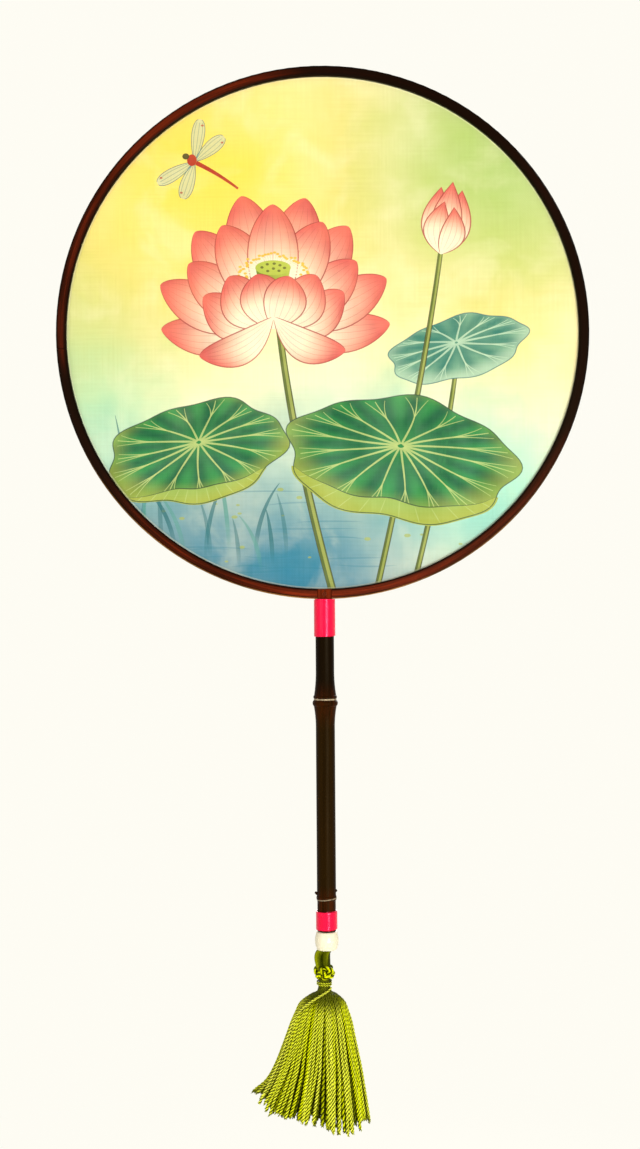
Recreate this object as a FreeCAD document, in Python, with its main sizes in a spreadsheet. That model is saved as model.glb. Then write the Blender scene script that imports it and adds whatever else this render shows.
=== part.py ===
import FreeCAD, Part
import math
import os
from types import SimpleNamespace

import Sketcher
from FreeCAD import Placement, Rotation, Vector

# Round silk hand fan: a stretched face between bent hoops, on a bamboo handle with a tassel.
# Millimetres, +Z up along the handle. The origin is the middle of the grip, and the painted
# front faces -Y.

# Driving sizes, in millimetres
SIZES = {
    # Face
    "face_radius": 130,
    "rim_width": 5,
    "hoop_depth": 2.6,
    "hoop_round": 0.9,
    "silk_thickness": 0.3,
    "lining_thickness": 0.4,
    "silk_inset": 1.2,
    "joint_kerf": 0.25,
    "joint_drop": 7,
    # Fork that holds the face
    "notch_depth": 1.5,
    "prong_width": 7,
    "prong_proud": 0.15,
    "prong_setback": 0.2,
    "fork_peg_radius": 0.9,
    # Handle
    "grip_to_rim": 101,
    "grip_to_end": 61,
    "top_radius": 4.5,
    "grip_radius": 4.65,
    "end_radius": 4.5,
    "bore_radius": 2.6,
    "bore_depth": 13,
    # Upper node of the bamboo, measured from its groove
    "rim_to_groove": 48.9,
    "groove_radius": 5.55,
    "groove_half_height": 0.4,
    "lower_ridge_radius": 6.2,
    "lower_ridge_drop": 1.8,
    "lower_ridge_foot": 3.4,
    "swell_radius": 5.55,
    "swell_length": 15,
    "upper_ridge_radius": 5.8,
    "upper_ridge_rise": 1.0,
    "upper_ridge_foot": 1.9,
    "flare_radius": 5.4,
    "flare_length": 15,
    # Lower node of the bamboo, with its trimmed branches
    "end_to_node": 16,
    "node_radius": 4.95,
    "node_half_height": 1.3,
    "stub_base_radius": 1.0,
    "stub_tip_radius": 0.55,
    "stub_length": 2.6,
    "stub_sink": 1.2,
    "left_stub_rise": 1.3,
    "right_stub_rise": 2.3,
    "right_stub_extra_sink": 0.5,
    # Red thread bindings
    "thread_radius": 0.27,
    "thread_pitch": 1.0,
    "upper_binding_length": 18,
    "lower_binding_length": 8.6,
    "binding_edge": 0.5,
    # Cord loop in the handle's end
    "cord_peg_radius": 0.9,
    "cord_peg_rise": 5,
    "loop_radius": 0.7,
    # Bead
    "bead_height": 9,
    "bead_radius": 5.8,
    "bead_end_radius": 5.2,
    "bead_round": 1.0,
    # Tassel head
    "tassel_shift": 1.4,
    "neck_radius": 1.85,
    "neck_length": 8.9,
    "knot_radius": 5.2,
    "tie_thread_radius": 0.35,
    "tie_pitch": 1.2,
    "tie_height": 3.6,
    # Tassel skirt
    "skirt_neck_radius": 3.2,
    "skirt_length": 62,
    "skirt_width": 57,
    "skirt_depth": 26,
    # Clearances
    "fit_gap": 0.05,
    "swing_gap": 0.25,
    "cut_overrun": 1,
}

# Angles in degrees, and counts
STUB_LEAN = 55
HEM_SLANT = 15
SKIRT_LOBES = 28

# Where the bend of a swelling passes, as a share of its height and of its rise
SWELL_HEIGHT_SHARE = 0.64
SWELL_RISE_SHARE = 0.34

# How far a quarter round's middle lies inside its corner, as a share of its radius
ROUND_CORNER_SHARE = 1 - math.sqrt(0.5)

# Depth of the grooves between strands, as a share of the skirt's half width
GROOVE_SHARE = 0.035

# Skirt sections from the shoulder to the hem: share of the length below the tie, then shares
# of the width for the middle and the half width, of the depth for the half depth, and of the slant
SKIRT_SHARES = [
    (0.095, -0.016, 0.195, 0.23, 0.0),
    (0.240, -0.025, 0.257, 0.33, 0.1),
    (0.590, -0.046, 0.364, 0.43, 0.5),
    (1.000, -0.100, 0.500, 0.50, 1.0),
]


class Size:
    """A length in millimetres, with the expression that gives it from the sheet's cells."""

    def __init__(self, value, text):
        self.value = value
        self.text = text

    def __add__(self, other):
        return Size(self.value + other.value, f"({self.text} + {other.text})")

    def __sub__(self, other):
        return Size(self.value - other.value, f"({self.text} - {other.text})")

    def __neg__(self):
        return Size(-self.value, f"(-{self.text})")

    def __mul__(self, factor):
        return Size(self.value * factor, f"({self.text} * {factor})")

    def __truediv__(self, factor):
        return Size(self.value / factor, f"({self.text} / {factor})")


doc = FreeCAD.newDocument("round_fan")


def fill_sheet():
    """Write the driving sizes into the sheet and return them as sizes by name."""
    sheet = doc.addObject("Spreadsheet::Sheet", "sizes")
    for row, (alias, number) in enumerate(SIZES.items(), 1):
        sheet.set(f"A{row}", alias)
        sheet.set(f"B{row}", str(number))
        sheet.setAlias(f"B{row}", alias)
    doc.recompute()
    return SimpleNamespace(**{alias: Size(float(sheet.get(alias)), f"sizes.{alias}") for alias in SIZES})


size = fill_sheet()
ZERO = Size(0, "0")

# Heights and depths that several pieces share
rim_inner = size.face_radius - size.rim_width
rim_middle = size.face_radius - size.rim_width / 2
face_height = size.grip_to_rim + size.face_radius
silk_front = size.lining_thickness / 2 + size.silk_thickness
silk_radius = size.face_radius - size.silk_inset
hoop_front = silk_front + size.hoop_depth
prong_front = hoop_front + size.prong_proud
fork_peg_height = size.grip_to_rim + size.rim_width / 2
cord_peg_height = size.cord_peg_rise - size.grip_to_end
bead_top = -size.grip_to_end - size.swing_gap
bead_bottom = bead_top - size.bead_height
neck_pivot = bead_bottom - size.swing_gap - size.neck_radius
knot_height = neck_pivot - size.neck_length


def bind(item, prop, amount):
    """Tie a property to the sheet."""
    item.setExpression(prop, amount.text)


def place(item, x=ZERO, y=ZERO, z=ZERO, turn=Rotation()):
    """Set an item's placement, with its position tied to the sheet."""
    item.Placement = Placement(Vector(x.value, y.value, z.value), turn)
    for axis, amount in zip("xyz", (x, y, z)):
        bind(item, f"Placement.Base.{axis}", amount)


def new_body(label):
    """Start a solid body."""
    body = doc.addObject("PartDesign::Body", label)
    body.Label = label
    return body


def new_sketch(body, role, name, lift=ZERO):
    """Start a sketch on one of the body's own planes, lifted along the plane's normal."""
    plane = next(item for item in body.Origin.OriginFeatures if item.Role == role)
    sketch = body.newObject("Sketcher::SketchObject", name)
    sketch.AttachmentSupport = [(plane, "")]
    sketch.MapMode = "FlatFace"
    bind(sketch, "AttachmentOffset.Base.z", lift)
    return sketch


def fix_point(sketch, geometry, end, x, y):
    """Tie a sketch point's two coordinates to the sheet."""
    for kind, amount in (("DistanceX", x), ("DistanceY", y)):
        rule = sketch.addConstraint(Sketcher.Constraint(kind, -1, 1, geometry, end, amount.value))
        bind(sketch, f"Constraints[{rule}]", amount)


def draw_circle(sketch, radius, x=ZERO, y=ZERO):
    """Draw a circle with its centre and radius tied to the sheet."""
    centre = Vector(x.value, y.value, 0)
    circle = sketch.addGeometry(Part.Circle(centre, Vector(0, 0, 1), radius.value), False)
    fix_point(sketch, circle, 3, x, y)
    rule = sketch.addConstraint(Sketcher.Constraint("Radius", circle, radius.value))
    bind(sketch, f"Constraints[{rule}]", radius)


def draw_outline(sketch, corners):
    """Draw a closed outline. A corner is (x, y), or (x, y, bend x, bend y) where an arc leads to it."""
    edges = []
    before = corners[-1]
    for corner in corners:
        start = Vector(before[0].value, before[1].value, 0)
        end = Vector(corner[0].value, corner[1].value, 0)
        if len(corner) == 2:
            edge = sketch.addGeometry(Part.LineSegment(start, end), False)
            ends = (1, 2)
        else:
            bend = Vector(corner[2].value, corner[3].value, 0)
            edge = sketch.addGeometry(Part.Arc(start, bend, end), False)
            turns_left = (bend - start).cross(end - bend).z > 0
            ends = (1, 2) if turns_left else (2, 1)
            mark = sketch.addGeometry(Part.Point(bend), True)
            fix_point(sketch, mark, 1, corner[2], corner[3])
            sketch.addConstraint(Sketcher.Constraint("PointOnObject", mark, 1, edge))
        edges.append((edge, ends))
        before = corner
    for number, corner in enumerate(corners):
        edge, ends = edges[number]
        follower, follower_ends = edges[(number + 1) % len(edges)]
        sketch.addConstraint(Sketcher.Constraint("Coincident", edge, ends[1], follower, follower_ends[0]))
        fix_point(sketch, edge, ends[1], corner[0], corner[1])


def rectangle(left, right, low, high):
    """Return the corners of an upright rectangle."""
    return [(left, low), (right, low), (right, high), (left, high)]


def revolve(body, sketch, name):
    """Turn a profile round the sketch's upright axis."""
    solid = body.newObject("PartDesign::Revolution", name)
    solid.Profile = sketch
    solid.ReferenceAxis = (sketch, ["V_Axis"])
    solid.Angle = 360
    return solid


def cut_through(body, sketch, name):
    """Cut a sketch right through the body, both ways from its plane, and check that it cut."""
    doc.recompute()
    volume_before = body.Shape.Volume
    cut = body.newObject("PartDesign::Pocket", name)
    cut.Profile = sketch
    cut.SideType = "Symmetric"
    cut.Type = "ThroughAll"
    doc.recompute()
    if body.Shape.Volume >= volume_before:
        raise RuntimeError(f"{name} cut nothing")
    return cut


def cylinder(name, radius, length):
    """Make a cylinder tied to the sheet."""
    item = doc.addObject("Part::Cylinder", name)
    bind(item, "Radius", radius)
    bind(item, "Height", length)
    return item


def sphere(name, radius):
    """Make a ball tied to the sheet."""
    item = doc.addObject("Part::Sphere", name)
    bind(item, "Radius", radius)
    return item


def subtract(label, base, tool):
    """Make the piece that is left when one item is cut from another."""
    item = doc.addObject("Part::Cut", label)
    item.Label = label
    item.Base = base
    item.Tool = tool
    return item


TO_BACK = Rotation(Vector(1, 0, 0), -90)
HALF_TURN = Rotation(Vector(0, 0, 1), 180)


# Face
def make_hoop(label, y, turn):
    """Make one bent hoop, with its butted ends, the fork's notch and the peg hole."""
    body = new_body(label)
    place(body, y=y, z=face_height, turn=turn)
    ring = new_sketch(body, "XZ_Plane", f"{label}_ring")
    draw_circle(ring, size.face_radius)
    draw_circle(ring, rim_inner)
    strip = body.newObject("PartDesign::Pad", f"{label}_strip")
    strip.Profile = ring
    bind(strip, "Length", size.hoop_depth)
    doc.recompute()

    outer_face = -size.hoop_depth.value
    rounded = [f"Edge{number}" for number, edge in enumerate(strip.Shape.Edges, 1)
               if abs(edge.CenterOfMass.y - outer_face) < size.fit_gap.value]
    rounding = body.newObject("PartDesign::Fillet", f"{label}_rounding")
    rounding.Base = (strip, rounded)
    bind(rounding, "Radius", size.hoop_round)
    doc.recompute()

    outside = size.face_radius + size.cut_overrun
    inside = rim_inner - size.cut_overrun
    notch_half = size.prong_width / 2 + size.fit_gap
    notch = new_sketch(body, "XZ_Plane", f"{label}_notch_outline", size.hoop_depth)
    draw_outline(notch, rectangle(-notch_half, notch_half, -outside, -inside))
    seat = body.newObject("PartDesign::Pocket", f"{label}_notch")
    seat.Profile = notch
    bind(seat, "Length", size.notch_depth)

    joint = new_sketch(body, "XZ_Plane", f"{label}_joint_outline")
    draw_outline(joint, rectangle(-outside, -inside, -size.joint_drop - size.joint_kerf, -size.joint_drop))
    cut_through(body, joint, f"{label}_joint")
    hole = new_sketch(body, "XZ_Plane", f"{label}_peg_outline")
    draw_circle(hole, size.fork_peg_radius + size.fit_gap, y=-rim_middle)
    cut_through(body, hole, f"{label}_peg_hole")
    return body


def make_sheet(label, thickness, front):
    """Make one round layer of the face, with the peg hole. Its front lies at the given depth."""
    disc = cylinder(f"{label}_disc", silk_radius, thickness)
    place(disc, y=front, z=face_height, turn=TO_BACK)
    hole = cylinder(f"{label}_hole", size.fork_peg_radius + size.fit_gap, thickness + size.cut_overrun * 2)
    place(hole, y=front - size.cut_overrun, z=fork_peg_height, turn=TO_BACK)
    return subtract(label, disc, hole)


# Handle
def handle_profile():
    """Return the half outline of the bamboo stick, from its lower end at zero height."""
    groove = size.grip_to_end + size.grip_to_rim - size.rim_to_groove
    fork_top = size.grip_to_end + size.grip_to_rim + size.rim_width - size.prong_setback
    swell_low = groove - size.swell_length
    swell_high = groove - size.lower_ridge_foot
    swell_bend = size.grip_radius + (size.swell_radius - size.grip_radius) * SWELL_RISE_SHARE
    swell_bend_height = swell_low + (swell_high - swell_low) * SWELL_HEIGHT_SHARE
    flare_low = groove + size.upper_ridge_foot
    flare_high = groove + size.flare_length
    flare_bend = size.top_radius + (size.flare_radius - size.top_radius) * SWELL_RISE_SHARE
    flare_bend_height = flare_high - (flare_high - flare_low) * SWELL_HEIGHT_SHARE
    node = size.end_to_node
    return [
        (size.bore_radius, ZERO),
        (size.end_radius, ZERO),
        (size.end_radius, node - size.node_half_height),
        (size.grip_radius, node + size.node_half_height, size.node_radius, node),
        (size.grip_radius, swell_low),
        (size.swell_radius, swell_high, swell_bend, swell_bend_height),
        (size.groove_radius, groove - size.groove_half_height,
         size.lower_ridge_radius, groove - size.lower_ridge_drop),
        (size.groove_radius, groove + size.groove_half_height),
        (size.flare_radius, flare_low, size.upper_ridge_radius, groove + size.upper_ridge_rise),
        (size.top_radius, flare_high, flare_bend, flare_bend_height),
        (size.top_radius, fork_top),
        (ZERO, fork_top),
        (ZERO, size.bore_depth),
        (size.bore_radius, size.bore_depth),
    ]


def make_stub(name, side, rise, sink):
    """Make the trimmed branch on one side of the lower node, leaning upward."""
    stub = doc.addObject("Part::Cone", name)
    bind(stub, "Radius1", size.stub_base_radius)
    bind(stub, "Radius2", size.stub_tip_radius)
    bind(stub, "Height", size.stub_length)
    place(stub, x=(size.grip_radius - sink) * side, z=size.end_to_node - size.grip_to_end + rise,
          turn=Rotation(Vector(0, 1, 0), STUB_LEAN * side))
    return stub


def make_handle():
    """Make the bamboo handle with its fork, hollow end and branch stubs."""
    body = new_body("handle_stick")
    place(body, z=-size.grip_to_end)
    profile = new_sketch(body, "XZ_Plane", "handle_outline")
    draw_outline(profile, handle_profile())
    revolve(body, profile, "handle_turned")

    rim_bottom = size.grip_to_end + size.grip_to_rim
    above = rim_bottom + size.rim_width + size.cut_overrun
    slot_half = hoop_front - size.notch_depth + size.fit_gap
    slot_floor = rim_bottom - size.fit_gap
    slot = new_sketch(body, "YZ_Plane", "handle_slot_outline")
    draw_outline(slot, rectangle(-slot_half, slot_half, slot_floor, above))
    cut_through(body, slot, "handle_slot")

    outside = size.top_radius + size.cut_overrun
    for name, plane, inside in (("side", "XZ_Plane", size.prong_width / 2),
                                ("face", "YZ_Plane", prong_front)):
        for end, low, high in (("low", -outside, -inside), ("high", inside, outside)):
            trim = new_sketch(body, plane, f"handle_{name}_trim_outline_{end}")
            draw_outline(trim, rectangle(low, high, slot_floor, above))
            cut_through(body, trim, f"handle_{name}_trim_{end}")
    for name, radius, height in (("fork", size.fork_peg_radius, fork_peg_height),
                                 ("cord", size.cord_peg_radius, cord_peg_height)):
        hole = new_sketch(body, "XZ_Plane", f"handle_{name}_peg_outline")
        draw_circle(hole, radius + size.fit_gap, y=height + size.grip_to_end)
        cut_through(body, hole, f"handle_{name}_peg_hole")

    handle = doc.addObject("Part::MultiFuse", "handle")
    handle.Label = "handle"
    handle.Shapes = [
        body,
        make_stub("left_stub", -1, size.left_stub_rise, size.stub_sink),
        make_stub("right_stub", 1, size.right_stub_rise, size.stub_sink + size.right_stub_extra_sink),
    ]
    return handle


def make_peg(label, radius, half_length, height):
    """Make a bamboo pin that runs from front to back, cut off flush."""
    peg = cylinder(label, radius, half_length * 2)
    peg.Label = label
    place(peg, y=-half_length, z=height, turn=TO_BACK)
    return peg


# Wound and bent tubes
def arc_from(start, heading, end):
    """Return the arc that leaves a point along a heading and reaches another point."""
    chord = end - start
    along = Vector(chord).normalize()
    across = (heading - along * heading.dot(along)).normalize()
    half_turn = heading.getAngle(chord)
    middle = start + chord / 2 + across * (chord.Length / 2 * math.tan(half_turn / 2))
    return Part.Arc(start, middle, end)


def biarc(start, heading, end, end_heading):
    """Return the two arcs that join two points along their headings."""
    gap = end - start
    both = heading + end_heading
    spread = 2 * (1 - heading.dot(end_heading))
    reach = (math.sqrt(gap.dot(both) ** 2 + spread * gap.dot(gap)) - gap.dot(both)) / spread
    middle = (start + end + (heading - end_heading) * reach) / 2
    first = arc_from(start, heading, middle)
    back = arc_from(end, end_heading * -1, middle)
    return [first, Part.Arc(middle, back.value((back.FirstParameter + back.LastParameter) / 2), end)]


def sweep_tube(curves, radius):
    """Sweep a round tube along curves that join end to end."""
    spine = Part.Wire([curve.toShape() for curve in curves])
    first = curves[0]
    heading = Vector(first.tangent(first.FirstParameter)[0])
    ring = Part.Wire(Part.Circle(first.value(first.FirstParameter), heading, radius).toShape())
    shell = Part.BRepOffsetAPI.MakePipeShell(spine)
    shell.add(ring)
    shell.build()
    shell.makeSolid()
    return shell.shape()


def least_gap(points, radius, skip):
    """Return the least clear distance between points of a tube more than skip points apart."""
    nearest = min(point.distanceToPoint(other) for number, point in enumerate(points)
                  for other in points[number + skip:])
    return nearest - radius * 2


def make_winding(label, core_radius, thread_radius, pitch, height, place_at):
    """Make thread wound up a round core, with straight ends one thread thick."""
    around = (core_radius + size.fit_gap + thread_radius).value
    step = pitch.value / 2
    half_turns = round((height - thread_radius * 2).value / step)

    def spot(angle):
        rise = thread_radius.value + angle / math.pi * step
        return Vector(around * math.cos(angle), around * math.sin(angle), rise)

    def heading(angle):
        return Vector(-around * math.sin(angle), around * math.cos(angle), step / math.pi).normalize()

    curves = []
    for number in range(half_turns):
        low, high = number * math.pi, (number + 1) * math.pi
        curves += biarc(spot(low), heading(low), spot(high), heading(high))
    last = half_turns * math.pi
    tail = thread_radius.value * 2
    curves.insert(0, Part.LineSegment(spot(0) - heading(0) * tail, spot(0)))
    curves.append(Part.LineSegment(spot(last), spot(last) + heading(last) * tail))

    item = doc.addObject("Part::Feature", label)
    item.Label = label
    item.Shape = sweep_tube(curves, thread_radius.value)
    place(item, *place_at)
    samples_per_arc = 8
    points = [point for curve in curves for point in curve.toShape().discretize(samples_per_arc)]
    gap = least_gap(points, thread_radius.value, samples_per_arc * 2)
    print(f"{label}: {half_turns / 2} turns, least gap to itself {gap:.3f} mm")
    return item


def make_hanging_loop():
    """Make the cord that hangs over the cross pin and comes down through the bead."""
    bend = (size.cord_peg_radius + size.fit_gap + size.loop_radius).value
    low = bead_bottom.value
    high = cord_peg_height.value
    left, right = Vector(-bend, 0, high), Vector(bend, 0, high)
    top = Vector(0, 0, high + bend)
    up = Vector(0, 0, 1)
    curves = [
        Part.LineSegment(Vector(-bend, 0, low), left),
        arc_from(left, up, top),
        arc_from(top, Vector(1, 0, 0), right),
        Part.LineSegment(right, Vector(bend, 0, low)),
    ]
    item = doc.addObject("Part::Feature", "hanging_loop")
    item.Label = "hanging_loop"
    item.Shape = sweep_tube(curves, size.loop_radius.value)
    place(item)
    length = sum(curve.length() for curve in curves)
    print(f"hanging_loop: length {length:.1f} mm, bend radius {bend:.2f} mm round its pin")
    return item


# Bead and tassel
def make_bead():
    """Make the barrel bead with its bore."""
    body = new_body("bead")
    place(body, z=bead_bottom)
    shoulder = size.bead_end_radius - size.bead_round
    corner = size.bead_end_radius - size.bead_round * ROUND_CORNER_SHARE
    inset = size.bead_round * ROUND_CORNER_SHARE
    top = size.bead_height
    profile = new_sketch(body, "XZ_Plane", "bead_outline")
    draw_outline(profile, [
        (size.bore_radius, ZERO),
        (shoulder, ZERO),
        (size.bead_end_radius, size.bead_round, corner, inset),
        (size.bead_end_radius, top - size.bead_round, size.bead_radius, top / 2),
        (shoulder, top, corner, top - inset),
        (size.bore_radius, top),
    ])
    revolve(body, profile, "bead_turned")
    return body


def make_neck_cord(label, side):
    """Make one of the two thick cords between the bead and the knot, with a domed top."""
    stem = cylinder(f"{label}_stem", size.neck_radius, size.neck_length)
    dome = sphere(f"{label}_dome", size.neck_radius)
    x = size.neck_radius * side - size.tassel_shift
    place(stem, x=x, z=knot_height)
    place(dome, x=x, z=neck_pivot)
    cord = doc.addObject("Part::Fuse", f"{label}_cord")
    cord.Base = stem
    cord.Tool = dome
    seat = sphere(f"{label}_seat", size.knot_radius + size.fit_gap)
    place(seat, x=-size.tassel_shift, z=knot_height)
    return subtract(label, cord, seat)


def make_knot():
    """Make the ball of the knot."""
    knot = sphere("tassel_knot", size.knot_radius)
    knot.Label = "tassel_knot"
    place(knot, x=-size.tassel_shift, z=knot_height)
    return knot


def lobed_section(middle, half_width, half_depth, slant):
    """Return a closed ring of arcs, one to each strand, round a slanted ellipse."""
    across = Vector(math.cos(slant), 0, -math.sin(slant)) * half_width
    deep = Vector(0, half_depth, 0)

    def spot(step, share):
        angle = 2 * math.pi * step / SKIRT_LOBES
        return middle + (across * math.cos(angle) + deep * math.sin(angle)) * share

    low = 1 - GROOVE_SHARE
    arcs = [Part.Arc(spot(number, low), spot(number + 0.5, 1), spot(number + 1, low))
            for number in range(SKIRT_LOBES)]
    return Part.Wire([arc.toShape() for arc in arcs])


def make_skirt():
    """Make the skirt as one soft solid, ridged like its strands, from the tie to a slanted hem."""
    top = -(size.knot_radius + size.swing_gap).value
    shoulder = top - size.tie_height.value
    neck = size.skirt_neck_radius.value
    sections = [lobed_section(Vector(0, 0, height), neck, neck, 0) for height in (top, shoulder)]
    length, width, depth = size.skirt_length.value, size.skirt_width.value, size.skirt_depth.value
    for down_share, middle_share, width_share, depth_share, slant_share in SKIRT_SHARES:
        middle = Vector(middle_share * width, 0, shoulder - down_share * length)
        slant = math.radians(HEM_SLANT * slant_share)
        sections.append(lobed_section(middle, width_share * width, depth_share * depth, slant))
    straight = Part.makeLoft(sections[:2], True, True)
    flared = Part.makeLoft(sections[1:], True, False)
    item = doc.addObject("Part::Feature", "tassel_skirt")
    item.Label = "tassel_skirt"
    item.Shape = straight.fuse(flared)
    place(item, x=-size.tassel_shift, z=knot_height)
    return item


def build():
    """Make every piece and return them."""
    tie_low = knot_height - size.knot_radius - size.swing_gap - size.tie_height
    binding_top = size.grip_to_rim - size.binding_edge
    return [
        make_hoop("front_hoop", -silk_front, Rotation()),
        make_hoop("back_hoop", silk_front, HALF_TURN),
        make_sheet("front_silk", size.silk_thickness, -silk_front),
        make_sheet("face_lining", size.lining_thickness, -size.lining_thickness / 2),
        make_sheet("back_silk", size.silk_thickness, size.lining_thickness / 2),
        make_handle(),
        make_peg("fork_peg", size.fork_peg_radius, prong_front, fork_peg_height),
        make_peg("cord_peg", size.cord_peg_radius, size.end_radius - size.fit_gap * 2, cord_peg_height),
        make_winding("upper_binding", size.top_radius, size.thread_radius, size.thread_pitch,
                     size.upper_binding_length, (ZERO, ZERO, binding_top - size.upper_binding_length)),
        make_winding("lower_binding", size.end_radius, size.thread_radius, size.thread_pitch,
                     size.lower_binding_length, (ZERO, ZERO, size.binding_edge - size.grip_to_end)),
        make_hanging_loop(),
        make_bead(),
        make_neck_cord("neck_cord_left", -1),
        make_neck_cord("neck_cord_right", 1),
        make_knot(),
        make_winding("tassel_tie", size.skirt_neck_radius, size.tie_thread_radius, size.tie_pitch,
                     size.tie_height, (-size.tassel_shift, ZERO, tie_low)),
        make_skirt(),
    ]


def export(pieces):
    """Check every object and write one file for each piece."""
    doc.recompute()
    for item in doc.Objects:
        if "Invalid" in item.State or "Error" in item.State:
            raise RuntimeError(f"{item.Label} failed: {item.State}")
    os.makedirs("parts", exist_ok=True)
    for piece in pieces:
        if piece.Shape.isNull() or not piece.Shape.isValid() or not piece.Shape.Solids:
            raise RuntimeError(f"{piece.Label} has no sound solid")
        piece.Shape.exportStep(f"parts/{piece.Label}.step")
        print(f"{piece.Label}: {piece.Shape.Volume:.1f} mm3")


export(build())
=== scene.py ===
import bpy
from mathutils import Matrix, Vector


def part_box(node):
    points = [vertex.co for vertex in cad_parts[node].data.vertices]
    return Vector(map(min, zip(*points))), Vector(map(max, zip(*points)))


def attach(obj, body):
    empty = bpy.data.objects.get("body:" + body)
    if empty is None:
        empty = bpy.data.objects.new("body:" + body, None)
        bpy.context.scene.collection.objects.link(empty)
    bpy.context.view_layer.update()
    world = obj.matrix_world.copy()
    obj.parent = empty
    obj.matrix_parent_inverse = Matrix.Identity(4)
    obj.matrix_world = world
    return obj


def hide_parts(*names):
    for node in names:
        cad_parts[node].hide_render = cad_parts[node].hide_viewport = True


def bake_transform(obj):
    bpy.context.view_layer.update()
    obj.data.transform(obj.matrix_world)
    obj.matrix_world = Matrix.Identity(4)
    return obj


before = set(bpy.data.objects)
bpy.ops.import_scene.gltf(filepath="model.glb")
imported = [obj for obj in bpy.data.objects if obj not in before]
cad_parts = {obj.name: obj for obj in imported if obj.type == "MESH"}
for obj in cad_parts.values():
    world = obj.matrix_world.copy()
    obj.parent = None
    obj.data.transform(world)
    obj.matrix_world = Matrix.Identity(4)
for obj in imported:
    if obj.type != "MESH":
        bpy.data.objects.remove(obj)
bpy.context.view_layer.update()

import math
import random
from collections import namedtuple

import bmesh
import bpy
import numpy as np
from bpy.props import FloatProperty, FloatVectorProperty, IntProperty, PointerProperty
from mathutils import Vector
from mathutils.geometry import delaunay_2d_cdt

bl_info = {
    "name": "Round Silk Fan",
    "version": (1, 0, 0),
    "blender": (4, 5, 0),
    "location": "View3D > Sidebar > Fan",
    "description": "Dresses a round silk fan on its packed frame",
    "category": "Object",
}

MM = 0.001
TURN = 2.0 * math.pi


def corners(node):
    """The lowest and the highest corner of a CAD piece."""
    return [Vector(corner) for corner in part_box(node)]


SILK_LOW, SILK_HIGH = corners("front_silk")
BACK_LOW, BACK_HIGH = corners("back_silk")
HOOP_LOW, HOOP_HIGH = corners("front_hoop")
KNOT_LOW, KNOT_HIGH = corners("tassel_knot")
BEAD_MOUTH = corners("bead")[0].z
SKIRT_TOP = corners("tassel_skirt")[1].z
FACE_MIDDLE = (SILK_LOW + SILK_HIGH) / 2.0
SILK_RADIUS = (SILK_HIGH.x - SILK_LOW.x) / 2.0
HOOP_RADIUS = (HOOP_HIGH.x - HOOP_LOW.x) / 2.0
HOOP_WIDTH = 5.0 * MM
KNOT_MIDDLE = (KNOT_LOW + KNOT_HIGH) / 2.0


def srgb(red, green, blue):
    """The linear colour of a screen colour given in 0 to 255."""
    return tuple((part / 255.0) ** 2.2 for part in (red, green, blue))


def colour_property(name, description, colour):
    """A colour that a user can change."""
    return FloatVectorProperty(name=name, description=description, default=colour, subtype="COLOR",
                               size=3, min=0.0, max=1.0)


def length_property(name, description, default):
    """A length that a user can change."""
    return FloatProperty(name=name, description=description, default=default, min=0.0,
                         precision=5, subtype="DISTANCE", unit="LENGTH")


class FanFaceSettings(bpy.types.PropertyGroup):
    """Sizes and colours of the silk face."""

    silk_radius: length_property("Silk radius", "Radius of the cut silk discs", SILK_RADIUS)
    weave_pitch: length_property("Weave pitch", "Distance between two threads of the silk", 0.42 * MM)
    ground: colour_property("Ground", "Bare silk", srgb(255, 246, 206))
    glow: colour_property("Glow", "Warm wash on the upper left", srgb(252, 216, 66))
    haze: colour_property("Haze", "Green wash on the upper right", srgb(146, 186, 72))
    mint: colour_property("Mint", "Pale green wash along the shallows", srgb(150, 226, 196))
    water: colour_property("Water", "Blue wash along the bottom", srgb(0, 116, 144))
    petal_heart: colour_property("Petal heart", "Foot of each petal", srgb(255, 240, 202))
    petal_blush: colour_property("Petal blush", "Middle of each petal", srgb(248, 178, 148))
    petal_tip: colour_property("Petal tip", "Tip of each petal", srgb(228, 96, 86))
    leaf_deep: colour_property("Leaf deep", "Leaf beside its veins", srgb(6, 92, 54))
    leaf_bright: colour_property("Leaf bright", "Leaf between its veins", srgb(58, 166, 74))


class FanWoodSettings(bpy.types.PropertyGroup):
    """Colours of the hoop and the handle."""

    # Hoop brown colours the painted highlight on the hoop's crest; the fork and its pins take the same brown
    hoop_brown: colour_property("Hoop brown", "Worn middle of the hoop", srgb(122, 42, 20))
    hoop_dark: colour_property("Hoop dark", "Lacquer at the hoop's edges", srgb(17, 8, 3))
    # Hoop bare colours a pale painted highlight along the hoop's lower outer edge
    hoop_bare: colour_property("Hoop bare", "Bare wood on the hoop's lower edge", srgb(168, 116, 62))
    handle_black: colour_property("Handle black", "Black bamboo above the upper node", srgb(22, 14, 4))
    handle_brown: colour_property("Handle brown", "Bamboo below the upper node", srgb(38, 25, 5))
    handle_red: colour_property("Handle red", "Bamboo close to its nodes", srgb(72, 30, 10))
    # Node line colours a pale painted highlight along each node ridge
    node_pale: colour_property("Node line", "Thin pale line at each node", srgb(186, 168, 136))


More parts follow.
